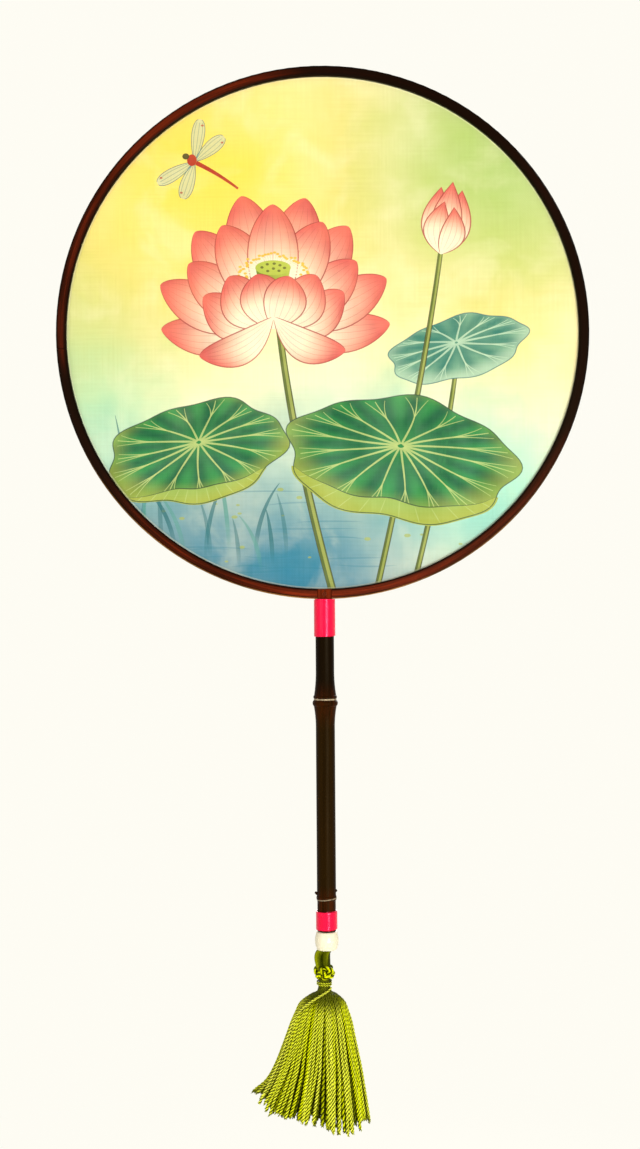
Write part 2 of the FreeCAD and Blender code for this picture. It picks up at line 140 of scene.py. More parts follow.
class FanThreadSettings(bpy.types.PropertyGroup):
    """Sizes and colours of the bindings, the bead and the tassel."""

    binding_pitch: length_property("Binding pitch", "Rise of one turn of the red thread", 0.56 * MM)
    binding_thread: length_property("Binding thread", "Radius of the red thread", 0.285 * MM)
    binding_red: colour_property("Binding red", "Red silk thread", srgb(250, 6, 62))
    strand_count: IntProperty(name="Strands", description="Strands in the tassel's outer layer",
                              default=66, min=8)
    strand_radius: length_property("Strand radius", "Radius of a strand at the hem", 0.88 * MM)
    twist_pitch: length_property("Twist pitch", "Length of one full twist of a strand", 5.7 * MM)
    cord_dark: colour_property("Cord dark", "Green cord in its hollows", srgb(44, 50, 2))
    cord_green: colour_property("Cord green", "Green cord", srgb(230, 238, 10))
    cord_bright: colour_property("Cord bright", "Green cord on its brightest strands", srgb(252, 254, 82))
    bead_white: colour_property("Bead white", "Cream white bead", srgb(238, 228, 196))
    bead_vein: colour_property("Bead vein", "Cloudy veins of the bead", srgb(232, 220, 184))


class FanStageSettings(bpy.types.PropertyGroup):
    """The floor and the light."""

    backdrop: colour_property("Backdrop", "Pale floor and background", srgb(254, 252, 243))
    floor_height: FloatProperty(name="Floor height", description="Height of the floor", default=-0.30,
                                subtype="DISTANCE", unit="LENGTH")
    key_power: FloatProperty(name="Key power", description="Power of the main lamp", default=12.5,
                             unit="POWER")
    ambient: FloatProperty(name="Ambient", description="Strength of the soft light from all round",
                           default=0.45)


# Node trees

FLOAT = "NodeSocketFloat"
VECTOR = "NodeSocketVector"
SHAPE = "NodeSocketGeometry"
WITHOUT_DEPTH = (1.0, 0.0, 1.0)
WITHOUT_HEIGHT = (1.0, 1.0, 0.0)
WARP_SLUB = (1700.0, 1.0, 30.0)
WEFT_SLUB = (30.0, 1.0, 1700.0)
WASH_DRIFT = 75.0 * MM
# Fineness of the mottling in paper, thread, cord and stone
PAPER_FIBRE = 420.0
BINDING_FIBRE = 2600.0
CORD_FIBRE = 1500.0
BEAD_CLOUD = 260.0


class Wire:
    """A node's output. Sums on wires add nodes to the wire's own tree."""

    def __init__(self, net, socket):
        self.net = net
        self.socket = socket

    def math(self, operation, other=0.0):
        """The result of a sum on this value and another."""
        return self.net.wire("ShaderNodeMath", 0, {0: self, 1: other}, operation=operation)

    def __add__(self, other):
        return self.math("ADD", other)

    def __sub__(self, other):
        return self.math("SUBTRACT", other)

    def __rsub__(self, other):
        return self.net.wire("ShaderNodeMath", 0, {0: other, 1: self}, operation="SUBTRACT")

    def __mul__(self, other):
        return self.math("MULTIPLY", other)

    def __truediv__(self, other):
        return self.math("DIVIDE", other)

    def most(self, other):
        """The larger of two values."""
        return self.math("MAXIMUM", other)

    def ease(self, low, high, start=0.0, end=1.0):
        """A soft passage from start to end while this value goes from low to high."""
        sockets = {"Value": self, "From Min": low, "From Max": high, "To Min": start, "To Max": end}
        return self.net.wire("ShaderNodeMapRange", "Result", sockets, interpolation_type="SMOOTHSTEP")

    def between(self, start, end):
        """A soft passage from start to end while this value goes from 0 to 1."""
        return self.ease(0.0, 1.0, start, end)

    def band(self, middle, half, soft):
        """A mask that is 1 within half of middle and fades over soft."""
        return (self - middle).math("ABSOLUTE").ease(half, half + soft, 1.0, 0.0)

    def vector(self, operation, other=None, output="Vector"):
        """The result of a sum on this vector and another."""
        sockets = {0: self} if other is None else {0: self, 1: other}
        return self.net.wire("ShaderNodeVectorMath", output, sockets, operation=operation)

    def times(self, stretch):
        """This vector, stretched along each axis."""
        return self.vector("MULTIPLY", stretch)

    def scaled(self, share):
        """This vector, made longer or shorter."""
        return self.net.wire("ShaderNodeVectorMath", "Vector", {0: self, "Scale": share}, operation="SCALE")

    def length(self):
        """The length of this vector."""
        return self.vector("LENGTH", output="Value")

    def axes(self):
        """The three parts of this vector."""
        return self.net.wires("ShaderNodeSeparateXYZ", {0: self})


class Net:
    """A node tree, with short ways to add nodes to it."""

    def __init__(self, tree):
        self.tree = tree

    def feed(self, node, key, value):
        """Gives one input of a node a wire or a plain value."""
        socket = node.inputs[key]
        if isinstance(value, Wire):
            self.tree.links.new(value.socket, socket)
        elif socket.type == "RGBA" and len(value) == 3:
            socket.default_value = (*value, 1.0)
        else:
            socket.default_value = value

    def add(self, kind, sockets=None, **settings):
        """A new node with its settings made and its inputs fed."""
        node = self.tree.nodes.new(kind)
        for name, value in settings.items():
            setattr(node, name, value)
        for key, value in (sockets or {}).items():
            self.feed(node, key, value)
        return node

    def wire(self, kind, output=0, sockets=None, **settings):
        """One output of a new node."""
        return Wire(self, self.add(kind, sockets, **settings).outputs[output])

    def wires(self, kind, sockets=None, **settings):
        """All outputs of a new node."""
        return [Wire(self, socket) for socket in self.add(kind, sockets, **settings).outputs]

    def noise(self, vector, scale, detail, roughness=0.5, distortion=0.0):
        """Smooth noise round one half."""
        return self.wire("ShaderNodeTexNoise", "Fac", {"Vector": vector, "Scale": scale, "Detail": detail,
                                                       "Roughness": roughness, "Distortion": distortion})

    def mix(self, share, first, second, blend="MIX"):
        """One colour laid over another."""
        return self.wire("ShaderNodeMix", 2, {0: share, 6: first, 7: second}, data_type="RGBA",
                         blend_type=blend)

    def bump(self, height, strength, distance):
        """A normal from a height map."""
        return self.wire("ShaderNodeBump", "Normal", {"Height": height, "Strength": strength,
                                                      "Distance": distance})

    def shared(self, make, sockets):
        """The outputs of a shared effect, placed here with its own values and made on its first use."""
        group = bpy.data.node_groups.get(make.__name__) or make(make.__name__)
        return self.wires("ShaderNodeGroup", sockets, node_tree=group)

    def store(self, shape, name, value, kind="FLOAT"):
        """A shape that keeps a value on every point under a name."""
        sockets = {"Geometry": shape, "Name": name, "Value": value}
        return self.wire("GeometryNodeStoreNamedAttribute", 0, sockets, data_type=kind, domain="POINT")

    def recall(self, name, kind="FLOAT"):
        """A value that was kept under a name."""
        return self.wire("GeometryNodeInputNamedAttribute", "Attribute", {"Name": name}, data_type=kind)

    def change(self, kind, shape, sockets=None):
        """A shape after one change."""
        return self.wire("GeometryNode" + kind, 0, {0: shape, **(sockets or {})})


class Finish(Net):
    """The net of a new material, with its Principled shader and its Object coordinates."""

    def __init__(self, name, **constants):
        self.material = bpy.data.materials.new(name)
        self.material.use_nodes = True
        super().__init__(self.material.node_tree)
        self.shader = self.tree.nodes["Principled BSDF"]
        self.place = self.wire("ShaderNodeTexCoord", "Object")
        self.dress(**constants)

    def dress(self, **sockets):
        """Gives the shader's sockets wires or plain values, and returns the material."""
        for socket, value in sockets.items():
            self.feed(self.shader, socket.replace("_", " ").title().replace("Ior", "IOR"), value)
        return self.material


def new_net(kind, name, inputs, outputs):
    """The net of a new node group with named sockets, the wires of its inputs, and its output node."""
    tree = bpy.data.node_groups.new(name, kind)
    for way, sockets in (("INPUT", inputs), ("OUTPUT", outputs)):
        for socket, socket_kind in sockets.items():
            tree.interface.new_socket(socket, in_out=way, socket_type=socket_kind)
    net = Net(tree)
    given = {wire.socket.name: wire for wire in net.wires("NodeGroupInput")}
    return net, given, tree.nodes.new("NodeGroupOutput")


def wood_grain(name):
    """Fine streaks and broad clouds that follow a stretched vector."""
    net, given, result = new_net("ShaderNodeTree", name, {"Vector": VECTOR, "Across": FLOAT},
                                 {"Streak": FLOAT, "Cloud": FLOAT})
    fine = {"Vector": given["Vector"], "W": given["Across"], "Scale": 1.0, "Detail": 4.0, "Roughness": 0.65}
    broad = {"Vector": given["Vector"], "W": given["Across"] * 0.13, "Scale": 0.35, "Detail": 2.0}
    streak = net.wire("ShaderNodeTexNoise", "Fac", fine, noise_dimensions="4D")
    cloud = net.wire("ShaderNodeTexNoise", "Fac", broad, noise_dimensions="4D")
    net.feed(result, "Streak", streak.ease(0.32, 0.70))
    net.feed(result, "Cloud", cloud.ease(0.30, 0.70))
    return net.tree


def silk_weave(name):
    """Crossing threads of a plain weave, with uneven slubs along both directions."""
    net, given, result = new_net("ShaderNodeTree", name, {"Vector": VECTOR, "Pitch": FLOAT},
                                 {"Height": FLOAT, "Slub": FLOAT})
    vector = given["Vector"]
    right, _, up = vector.axes()
    warp = (right * math.pi / given["Pitch"]).math("SINE")
    weft = (up * math.pi / given["Pitch"]).math("SINE")
    upright = net.noise(vector.times(WARP_SLUB), 1.0, 2.0)
    level = net.noise(vector.times(WEFT_SLUB), 1.0, 2.0)
    net.feed(result, "Height", warp * weft)
    net.feed(result, "Slub", ((upright + level) * 0.5).ease(0.36, 0.64))
    return net.tree


def fibre(name):
    """Fine mottling of spun thread."""
    net, given, result = new_net("ShaderNodeTree", name, {"Vector": VECTOR, "Scale": FLOAT}, {"Shade": FLOAT})
    net.feed(result, "Shade", net.noise(given["Vector"], given["Scale"], 3.0, 0.6).ease(0.30, 0.70))
    return net.tree


def wash(name):
    """A soft spread of wet colour round a centre, with a drifting edge."""
    net, given, result = new_net("ShaderNodeTree", name, {"Vector": VECTOR, "Centre": VECTOR, "Reach": FLOAT},
                                 {"Mask": FLOAT})
    uneven = (net.noise(given["Vector"], 22.0, 4.0) - 0.5) * WASH_DRIFT
    distance = given["Vector"].vector("SUBTRACT", given["Centre"]).length() + uneven
    net.feed(result, "Mask", (distance / given["Reach"]).between(1.0, 0.0))
    return net.tree


def dress_nodes(material, *names):
    """Gives CAD pieces their finish."""
    for name in names:
        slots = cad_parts[name].data.materials
        slots.clear()
        slots.append(material)


def new_piece(name, mesh, body, replaced):
    """Links a finished mesh as a piece that rides on a body, if on one alone, and stands for CAD nodes."""
    piece = bpy.data.objects.new(name, mesh)
    bpy.context.scene.collection.objects.link(piece)
    if body:
        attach(piece, body)
    if replaced:
        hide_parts(*replaced)
    return piece


# Hoop and handle

# Painted highlight on the lacquer: direction from the middle of the face, angles where the highlight ends and
# is full, and strength
HOOP_HIGHLIGHTS = ((143.0, 48.0, 12.0, 0.85), (278.0, 66.0, 22.0, 1.0))
HIGHLIGHT_LEAST = 0.04
HOOP_GRAIN_ALONG = (4.0, 4.0, 4.0)
HOOP_GRAIN_ACROSS = 1500.0
HOOP_GRAIN_DEEP = 900.0
HANDLE_GRAIN = (1100.0, 1100.0, 26.0)
PEG_GRAIN = (2600.0, 120.0, 2600.0)
# Where the pale painted highlight on the hoop's lower outer edge starts and is full
EDGE_HIGHLIGHT_STARTS = HOOP_RADIUS - 0.75 * MM
EDGE_HIGHLIGHT_FULL = HOOP_RADIUS - 0.35 * MM
UPPER_NODE = 52.1 * MM
LOWER_NODE = -45.4 * MM
FORK_FOOT = 100.6 * MM
FORK_PASSAGE = 0.3 * MM
LINE_SOFT = 0.30 * MM


def hoop_material(wood):
    """Dark lacquer on bent wood: grain along the bend, a brown painted highlight on its crest, a pale one on
    the lower edge.
    """
    finish = Finish("hoop_lacquer", specular_ior_level=0.05, specular_tint=(1.0, 0.72, 0.4),
                    coat_roughness=0.3)
    centred = finish.place.vector("SUBTRACT", FACE_MIDDLE)
    flat = centred.times(WITHOUT_DEPTH)
    radius = flat.length()
    outward = flat.vector("NORMALIZE")
    right, _, up = outward.axes()
    across = radius * HOOP_GRAIN_ACROSS + centred.axes()[1] * HOOP_GRAIN_DEEP
    along = outward.times(HOOP_GRAIN_ALONG)
    streak, cloud = finish.shared(wood_grain, {"Vector": along, "Across": across})
    drift = (cloud - 0.5) * 0.16
    facing = HIGHLIGHT_LEAST
    for direction, ends, full, strength in HOOP_HIGHLIGHTS:
        angle = math.radians(direction)
        towards = right * math.cos(angle) + up * math.sin(angle) + drift
        near = towards.ease(math.cos(math.radians(ends)), math.cos(math.radians(full)), HIGHLIGHT_LEAST, strength)
        facing = near.most(facing)
    # Painted highlight: a band along the hoop's crest, strongest toward the upper left and the bottom, broken
    # up by grain and clouds
    crest_highlight = radius.band(HOOP_RADIUS - HOOP_WIDTH / 2.0, 0.4 * MM, 2.0 * MM)
    patchy = cloud.ease(0.15, 0.85, 0.45, 1.0) * streak.between(0.35, 1.0)
    colour = finish.mix(crest_highlight * facing * patchy, wood.hoop_dark, wood.hoop_brown)
    # Pale painted highlight along the lower outer edge, broken up by the grain
    low = (up * -1.0).ease(0.35, 0.9)
    pale_edge = radius.ease(EDGE_HIGHLIGHT_STARTS, EDGE_HIGHLIGHT_FULL) * low * streak.ease(0.1, 0.6, 0.2, 0.85)
    return finish.dress(base_color=finish.mix(pale_edge, colour, wood.hoop_bare),
                        roughness=streak.between(0.42, 0.30), coat_weight=cloud.between(0.0, 0.02),
                        normal=finish.bump(streak, 0.18, 0.15 * MM))


def handle_material(wood):
    """Black bamboo: long streaks, redder at its nodes with a pale painted highlight on each node, dyed brown
    at the fork.
    """
    finish = Finish("handle_bamboo", specular_ior_level=0.035, specular_tint=(1.0, 0.75, 0.35),
                    coat_roughness=0.4)
    right, _, height = finish.place.axes()
    drawn = finish.place.times(HANDLE_GRAIN)
    streak, cloud = finish.shared(wood_grain, {"Vector": drawn, "Across": 3.0})
    above = height.ease(UPPER_NODE - 3.0 * MM, UPPER_NODE + 4.0 * MM)
    colour = finish.mix(above, wood.handle_brown, wood.handle_black)
    near_upper = height.band(UPPER_NODE - 3.0 * MM, 2.0 * MM, 11.0 * MM) * 0.55
    near_lower = height.ease(LOWER_NODE - 1.0 * MM, LOWER_NODE + 8.0 * MM, 0.75, 0.0)
    fork = height.ease(FORK_FOOT, FORK_FOOT + FORK_PASSAGE)
    red = near_upper.most(near_lower).most(fork) * streak.between(0.25, 1.0)
    colour = finish.mix(red, colour, wood.handle_red)
    colour = finish.mix(cloud.ease(0.2, 1.0, 0.0, 0.55), colour, wood.handle_black)
    colour = finish.mix(fork * streak.between(0.35, 0.75), colour, wood.hoop_brown)
    # Pale painted highlight along the ridge of each node
    upper_node_highlight = height.band(UPPER_NODE, 0.18 * MM, LINE_SOFT)
    lower_node_highlight = (height + right * -0.10).band(LOWER_NODE, 0.12 * MM, LINE_SOFT) * 0.62
    line = upper_node_highlight.most(lower_node_highlight) * streak.ease(0.0, 0.8, 0.45, 0.95)
    return finish.dress(base_color=finish.mix(line, colour, wood.node_pale),
                        roughness=streak.between(0.34, 0.50), coat_weight=cloud.between(0.015, 0.0),
                        normal=finish.bump(streak, 0.22, 0.12 * MM))


def peg_material(wood):
    """Split bamboo pins with fibres along them."""
    finish = Finish("pin_bamboo", specular_ior_level=0.06)
    drawn = finish.place.times(PEG_GRAIN)
    streak, cloud = finish.shared(wood_grain, {"Vector": drawn, "Across": 1.0})
    fork = finish.place.axes()[2].ease(FORK_FOOT, FORK_FOOT + FORK_PASSAGE)
    deep = finish.mix(fork, wood.hoop_dark, wood.handle_red)
    light = finish.mix(fork, wood.handle_red, wood.hoop_brown)
    return finish.dress(base_color=finish.mix(streak.between(0.0, 0.6), deep, light),
                        roughness=cloud.between(0.45, 0.65), normal=finish.bump(streak, 0.3, 0.1 * MM))


class FAN_OT_dress_hoops(bpy.types.Operator):
    """Finish both hoops in dark lacquer"""

    bl_idname = "fan.dress_hoops"
    bl_label = "Dress Hoops"

    def execute(self, context):
        dress_nodes(hoop_material(context.scene.fan_wood), "front_hoop", "back_hoop")
        return {"FINISHED"}


class FAN_OT_dress_handle(bpy.types.Operator):
    """Finish the bamboo handle and its pins"""

    bl_idname = "fan.dress_handle"
    bl_label = "Dress Handle"

    def execute(self, context):
        wood = context.scene.fan_wood
        dress_nodes(handle_material(wood), "handle")
        dress_nodes(peg_material(wood), "fork_peg", "cord_peg")
        return {"FINISHED"}


# Painting on the silk, in millimetres from the middle of the face

PETAL_LINE = srgb(176, 62, 58)
LEAF_RIM = srgb(168, 176, 66)
LEAF_VEIN = srgb(190, 204, 120)
LEAF_LINE = srgb(20, 58, 44)
LIP_GREEN = srgb(158, 182, 84)
FAR_DEEP = srgb(44, 120, 104)
FAR_BRIGHT = srgb(126, 178, 140)
FAR_VEIN = srgb(188, 216, 180)
STALK_DARK = srgb(92, 104, 40)
STALK_LIGHT = srgb(170, 176, 84)
STALK_LINE = srgb(62, 58, 26)
POD_GREEN = srgb(184, 194, 72)
POD_DEEP = srgb(118, 134, 42)
STAMEN_FOOT = srgb(255, 243, 205)
STAMEN_TIP = srgb(240, 186, 56)
SEED = srgb(92, 96, 38)
REED = srgb(30, 104, 108)
REED_PALE = srgb(86, 152, 136)
WING = srgb(150, 196, 196)
BODY_RED = srgb(186, 52, 34)
RIPPLE = srgb(40, 120, 136)

LeafTones = namedtuple("LeafTones", "deep bright rim vein line")


def smooth(low, high, value):
    """0 below low, 1 above high, with a soft passage between."""
    share = np.clip((value - low) / (high - low), 0.0, 1.0)
    return share * share * (3.0 - 2.0 * share)


def mix(first, second, share):
    """Colours between two colours, one row for each share."""
    share = np.asarray(share)[:, None]
    return np.asarray(first) * (1.0 - share) + np.asarray(second) * share


def covered(colour, cover):
    """Colours with how much of the silk they hide in the fourth column."""
    return np.column_stack([colour, np.broadcast_to(cover, len(colour))])


def bow(start, bend, end, count=26):
    """Points of a curve from start to end that is drawn towards bend."""
    share = np.linspace(0.0, 1.0, count)[:, None]
    start, bend, end = (np.asarray(point, float) for point in (start, bend, end))
    return start * (1.0 - share) ** 2 + bend * 2.0 * share * (1.0 - share) + end * share ** 2


def sideways(line):
    """Unit vectors to the left of a line."""
    heading = np.gradient(np.asarray(line, float), axis=0)
    heading /= np.linalg.norm(heading, axis=1)[:, None]
    return np.column_stack([-heading[:, 1], heading[:, 0]])


def round_points(count):
    """Angles spread evenly once round."""
    return np.linspace(0.0, TURN, count, endpoint=False)


class Canvas:
    """Brushed areas in the order they are laid: each a closed outline and its colour at any point."""

    def __init__(self):
        self.patches = []

    def area(self, outline, shade):
        """An area whose colour and cover at any points a function gives."""
        self.patches.append((np.asarray(outline, float), shade))

    def plain(self, outline, colour, cover, fade=None):
        """An area of one colour, which fades in between two heights where they are given."""

        def shade(points):
            shown = smooth(*fade, points[:, 1]) if fade else 1.0
            return covered(np.tile(colour, (len(points), 1)), cover * shown)

        self.area(outline, shade)

    def stroke(self, line, widths, colour, cover=0.9, fade=None):
        """A brush line of changing width."""
        line = np.asarray(line, float)
        reach = sideways(line) * np.broadcast_to(np.asarray(widths, float), len(line))[:, None] / 2.0
        self.plain(np.vstack([line + reach, (line - reach)[::-1]]), colour, cover, fade)

    def pressed(self, line, thickest, colour, cover, foot=0.25, tip=0.15):
        """A brush line that is pressed in its middle and lifted at its ends."""
        share = np.linspace(0.0, 1.0, len(line))
        press = np.sin(np.pi * share) ** 0.7
        self.stroke(line, thickest * np.maximum(press, foot * (1.0 - share) + tip * share), colour, cover)

    def dot(self, centre, radius, colour, cover=0.9, squeeze=1.0, count=12):
        """A round touch of the brush."""
        angle = round_points(count)
        ring = np.column_stack([np.cos(angle), np.sin(angle) * squeeze]) * radius
        self.plain(ring + np.asarray(centre), colour, cover)


class Petal:
    """A pointed petal on a bent middle line, with its own along and across coordinates."""

    RISE = 0.9
    THINNEST = 0.3

    def __init__(self, base, angle, length, width, bend=0.0, shoulder=0.56):
        turn = math.radians(angle)
        self.base = np.asarray(base, float)
        self.forward = np.array([math.sin(turn), math.cos(turn)])
        self.side = np.array([self.forward[1], -self.forward[0]])
        self.length = length
        self.half = width / 2.0
        self.bend = bend
        self.fall = self.RISE * (1.0 - shoulder) / shoulder
        self.peak = shoulder ** self.RISE * (1.0 - shoulder) ** self.fall

    def half_width(self, along):
        """Half the petal's width at a share of its length."""
        along = np.clip(along, 0.0, 1.0)
        return self.half * along ** self.RISE * (1.0 - along) ** self.fall / self.peak

    def middle(self, along):
        """How far the bent middle line lies aside at a share of the petal's length."""
        return 4.0 * self.bend * along * (1.0 - along)

    def point(self, along, across):
        """Points of the face at those coordinates of the petal."""
        along = np.asarray(along, float)
        aside = self.middle(along) + self.half_width(along) * across
        return self.base + np.outer(along * self.length, self.forward) + np.outer(aside, self.side)

    def place(self, points):
        """How far along and across the petal each point lies."""
        offset = np.asarray(points) - self.base
        along = offset @ self.forward / self.length
        aside = offset @ self.side - self.middle(along)
        return along, aside / np.maximum(self.half_width(along), self.THINNEST)

    def edge(self, across, start=0.0, end=1.0, count=24):
        """A line along the petal at one share of its half width."""
        share = (1.0 - np.cos(np.linspace(0.0, np.pi, count))) / 2.0
        return self.point(start + (end - start) * share, across)

    def outline(self):
        """The petal's closed edge."""
        return np.vstack([self.edge(-1.0), self.edge(1.0)[::-1][1:-1]])


def paint_petal(canvas, petal, face, ribs=5):
    """A petal that deepens to its tip, with fine ribs and a drawn edge."""

    def shade(points):
        along, across = petal.place(points)
        deep = smooth(0.30, 1.08, along + 0.10 * np.abs(across) ** 2)
        colour = mix(face.petal_heart, face.petal_blush, smooth(0.0, 0.6, deep))
        colour = mix(colour, face.petal_tip, smooth(0.42, 1.0, deep))
        fold = 1.0 - 0.10 * smooth(0.2, 1.0, across) + 0.04 * smooth(0.1, 0.9, -across)
        return covered(colour * fold[:, None], 1.0)

    canvas.area(petal.outline(), shade)
    for across in np.linspace(-0.68, 0.68, ribs):
        canvas.pressed(petal.edge(across, 0.10, 0.93, 14), 0.32, PETAL_LINE, 0.35)
    for across in (-0.99, 0.99):
        canvas.pressed(petal.edge(across, 0.02, 0.995, 26), 0.62, PETAL_LINE, 0.85)


class Leaf:
    """A round water leaf seen aslant, with a waved rim and veins from its hub."""

    def __init__(self, centre, reach, depth, turn, hub, phase, veins):
        angle = math.radians(turn)
        self.centre = np.asarray(centre, float)
        self.reach = reach
        self.depth = depth
        self.right = np.array([math.cos(angle), math.sin(angle)])
        self.up = np.array([-math.sin(angle), math.cos(angle)])
        self.hub = np.asarray(hub, float)
        self.phase = phase
        self.veins = veins

    def rim(self, angle):
        """The waved rim, in shares of the leaf's reach and depth."""
        angle = np.asarray(angle, float)
        wave = 1.0 + 0.045 * np.sin(5 * angle + self.phase) + 0.03 * np.sin(9 * angle + 2.0 * self.phase)
        return np.column_stack([np.cos(angle), np.sin(angle)]) * wave[:, None]

    def to_face(self, local):
        """Points of the face from shares of the leaf."""
        local = np.atleast_2d(local)
        return (self.centre + np.outer(local[:, 0] * self.reach, self.right)
                + np.outer(local[:, 1] * self.depth, self.up))

    def to_local(self, points):
        """Shares of the leaf from points of the face."""
        offset = np.asarray(points) - self.centre
        return np.column_stack([offset @ self.right / self.reach, offset @ self.up / self.depth])

    def from_hub(self, angle, share):
        """Points on the way from the hub to the rim."""
        share = np.asarray(share, float)[:, None]
        return self.to_face(self.hub * (1.0 - share) + self.rim(angle) * share)


def paint_veins(canvas, leaf, vein):
    """Veins that fork before the rim."""
    whole = np.linspace(0.03, 0.95, 16)
    forked = np.linspace(0.58, 0.95, 9)
    for number in range(leaf.veins):
        aim = TURN * number / leaf.veins
        line = leaf.from_hub(aim + 0.05 * np.sin(3.0 * whole + number), whole)
        canvas.stroke(line, np.linspace(1.1, 0.35, len(whole)), vein, 0.8)
        for fork in (-0.10, 0.10):
            aside = aim + fork * np.linspace(0.0, 1.0, len(forked)) + 0.05 * np.sin(3.0 * forked + number)
            canvas.stroke(leaf.from_hub(aside, forked), np.linspace(0.55, 0.25, len(forked)), vein, 0.7)


def paint_lip(canvas, leaf, start, end, tones):
    """The front of the rim, turned over to show the leaf's pale underside."""
    count = 40
    angle = np.radians(np.linspace(start, end, count))
    fold = 0.30 * np.sin(np.linspace(0.0, np.pi, count)) ** 0.8
    outer = leaf.rim(angle) * 1.02
    inner = leaf.rim(angle) * (1.0 - fold)[:, None]

    def shade(points):
        out = np.linalg.norm(leaf.to_local(points), axis=1)
        return covered(mix(LIP_GREEN, tones.rim, smooth(0.72, 1.02, out)), 1.0)

    canvas.area(leaf.to_face(np.vstack([outer, inner[::-1]])), shade)
    for number in range(3, count - 2, 3):
        canvas.pressed(leaf.to_face(np.linspace(outer[number], inner[number], 8)), 0.45, tones.vein, 0.6)
    canvas.pressed(leaf.to_face(inner), 0.55, tones.line, 0.8)


def paint_leaf(canvas, leaf, tones, lip=None):
    """A leaf that is dark beside its veins and bright between them."""

    def shade(points):
        local = leaf.to_local(points) - leaf.hub
        out = np.linalg.norm(local, axis=1)
        angle = np.arctan2(local[:, 1], local[:, 0])
        between = 0.5 - 0.5 * np.cos(leaf.veins * angle)
        glow = 0.55 * between * smooth(0.1, 0.8, out) + 0.45 * (1.0 - smooth(0.0, 0.45, out))
        colour = mix(tones.deep, tones.bright, np.clip(glow, 0.0, 1.0))
        return covered(mix(colour, tones.rim, 0.75 * smooth(0.72, 1.15, out)), 1.0)

    whole = round_points(110)
    canvas.area(leaf.to_face(leaf.rim(whole)), shade)
    paint_veins(canvas, leaf, tones.vein)
    if lip:
        paint_lip(canvas, leaf, *lip, tones)
    canvas.stroke(leaf.to_face(leaf.rim(np.append(whole, whole[0]))), 0.5, tones.line, 0.8)


def paint_stem(canvas, line, thickness):
    """A round stalk with a lit side and drawn edges."""
    width = thickness * np.linspace(0.78, 1.0, len(line))
    side = sideways(line)
    canvas.stroke(line, width, STALK_DARK, 1.0)
    canvas.stroke(line + side * thickness * 0.12, width * 0.42, STALK_LIGHT, 0.75)
    for edge in (-0.5, 0.5):
        canvas.pressed(line + side * (width * edge)[:, None], 0.45, STALK_LINE, 0.8, 0.6, 0.6)


def paint_stamens(canvas, heart, rng):
    """A fringe of stamens round the seed pod."""
    count = 42
    for number in range(count):
        angle = math.radians(-112.0 + 224.0 * number / (count - 1))
        reach = 13.5 + rng.uniform(-1.8, 1.8)
        end = heart + np.array([math.sin(angle) * reach * 1.15, math.cos(angle) * reach * 0.62 - 1.0])
        foot = heart + np.array([math.sin(angle) * 5.0, math.cos(angle) * 2.4 - 3.0])
        line = bow(foot, (foot + end) / 2.0 + np.array([0.0, 1.5]), end, 7)
        canvas.pressed(line, 0.42, STAMEN_FOOT, 0.9, 0.5, 0.4)
        canvas.dot(end, 0.85, STAMEN_TIP, 0.95, 0.7, 9)


def paint_pod(canvas, heart):
    """The seed pod in the flower's middle."""
    left = bow(heart + [-8.5, 1.0], heart + [-7.0, -9.0], heart + [-2.5, -13.0], 12)
    right = bow(heart + [2.5, -13.0], heart + [7.0, -9.0], heart + [8.5, 1.0], 12)

    def shade(points):
        return covered(mix(POD_DEEP, POD_GREEN, smooth(-9.0, 9.0, points[:, 0] - heart[0])), 1.0)

    canvas.area(np.vstack([left, right]), shade)
    canvas.dot(heart + [0.0, 1.0], 8.7, POD_GREEN, 1.0, 0.42, 30)
    for seed in ((-5.4, 1.2), (-2.8, 2.7), (0.2, 0.6), (0.6, 3.0),
                 (3.4, 2.2), (5.6, 0.9), (-2.6, -0.6), (2.9, -0.5)):
        canvas.dot(heart + seed, 0.85, SEED, 0.9, 0.75, 9)


def paint_flower(canvas, base, face, rng):
    """An open water flower: outer and back petals, its pod, then the cupped front."""
    base = np.asarray(base, float)

    def ring(lift, *petals):
        for angle, length, width, bend in petals:
            paint_petal(canvas, Petal(base + [0.0, lift], angle, length, width, bend), face)

    ring(0.0, (-94, 55, 20, -5.0), (92, 57, 20, 5.0), (-72, 58, 23, -4.0), (70, 59, 23, 4.0))
    ring(0.0, (-41, 58, 25, -2.0), (39, 59, 25, 2.0), (-14, 63, 26, -1.0), (15, 62, 26, 1.0))
    ring(0.0, (-56, 50, 23, -3.0), (55, 50, 23, 3.0), (-28, 53, 24, 0.0), (27, 54, 24, 0.0), (0, 57, 25, 0.0))
    heart = base + [0.0, 25.0]
    paint_stamens(canvas, heart, rng)
    paint_pod(canvas, heart)
    ring(-2.0, (-68, 37, 21, -5.0), (66, 38, 21, 5.0))
    ring(-3.0, (-42, 33, 22, -3.5), (41, 33, 22, 3.5))
    ring(-4.0, (-16, 28, 22, -1.0), (17, 27, 21, 1.5))
    ring(2.0, (-118, 41, 16, -6.0), (116, 39, 16, 6.0))


def paint_bud(canvas, base, lean, face):
    """A closed bud of overlapping petals."""
    rows = ((-9, 33, 15, -2.2), (9, 33, 15, 2.2), (0, 36, 15, 0.0), (-5, 26, 13, -3.0), (6, 24, 12, 3.0))
    for angle, length, width, bend in rows:
        paint_petal(canvas, Petal(base, lean + angle, length, width, bend, 0.44), face, 4)


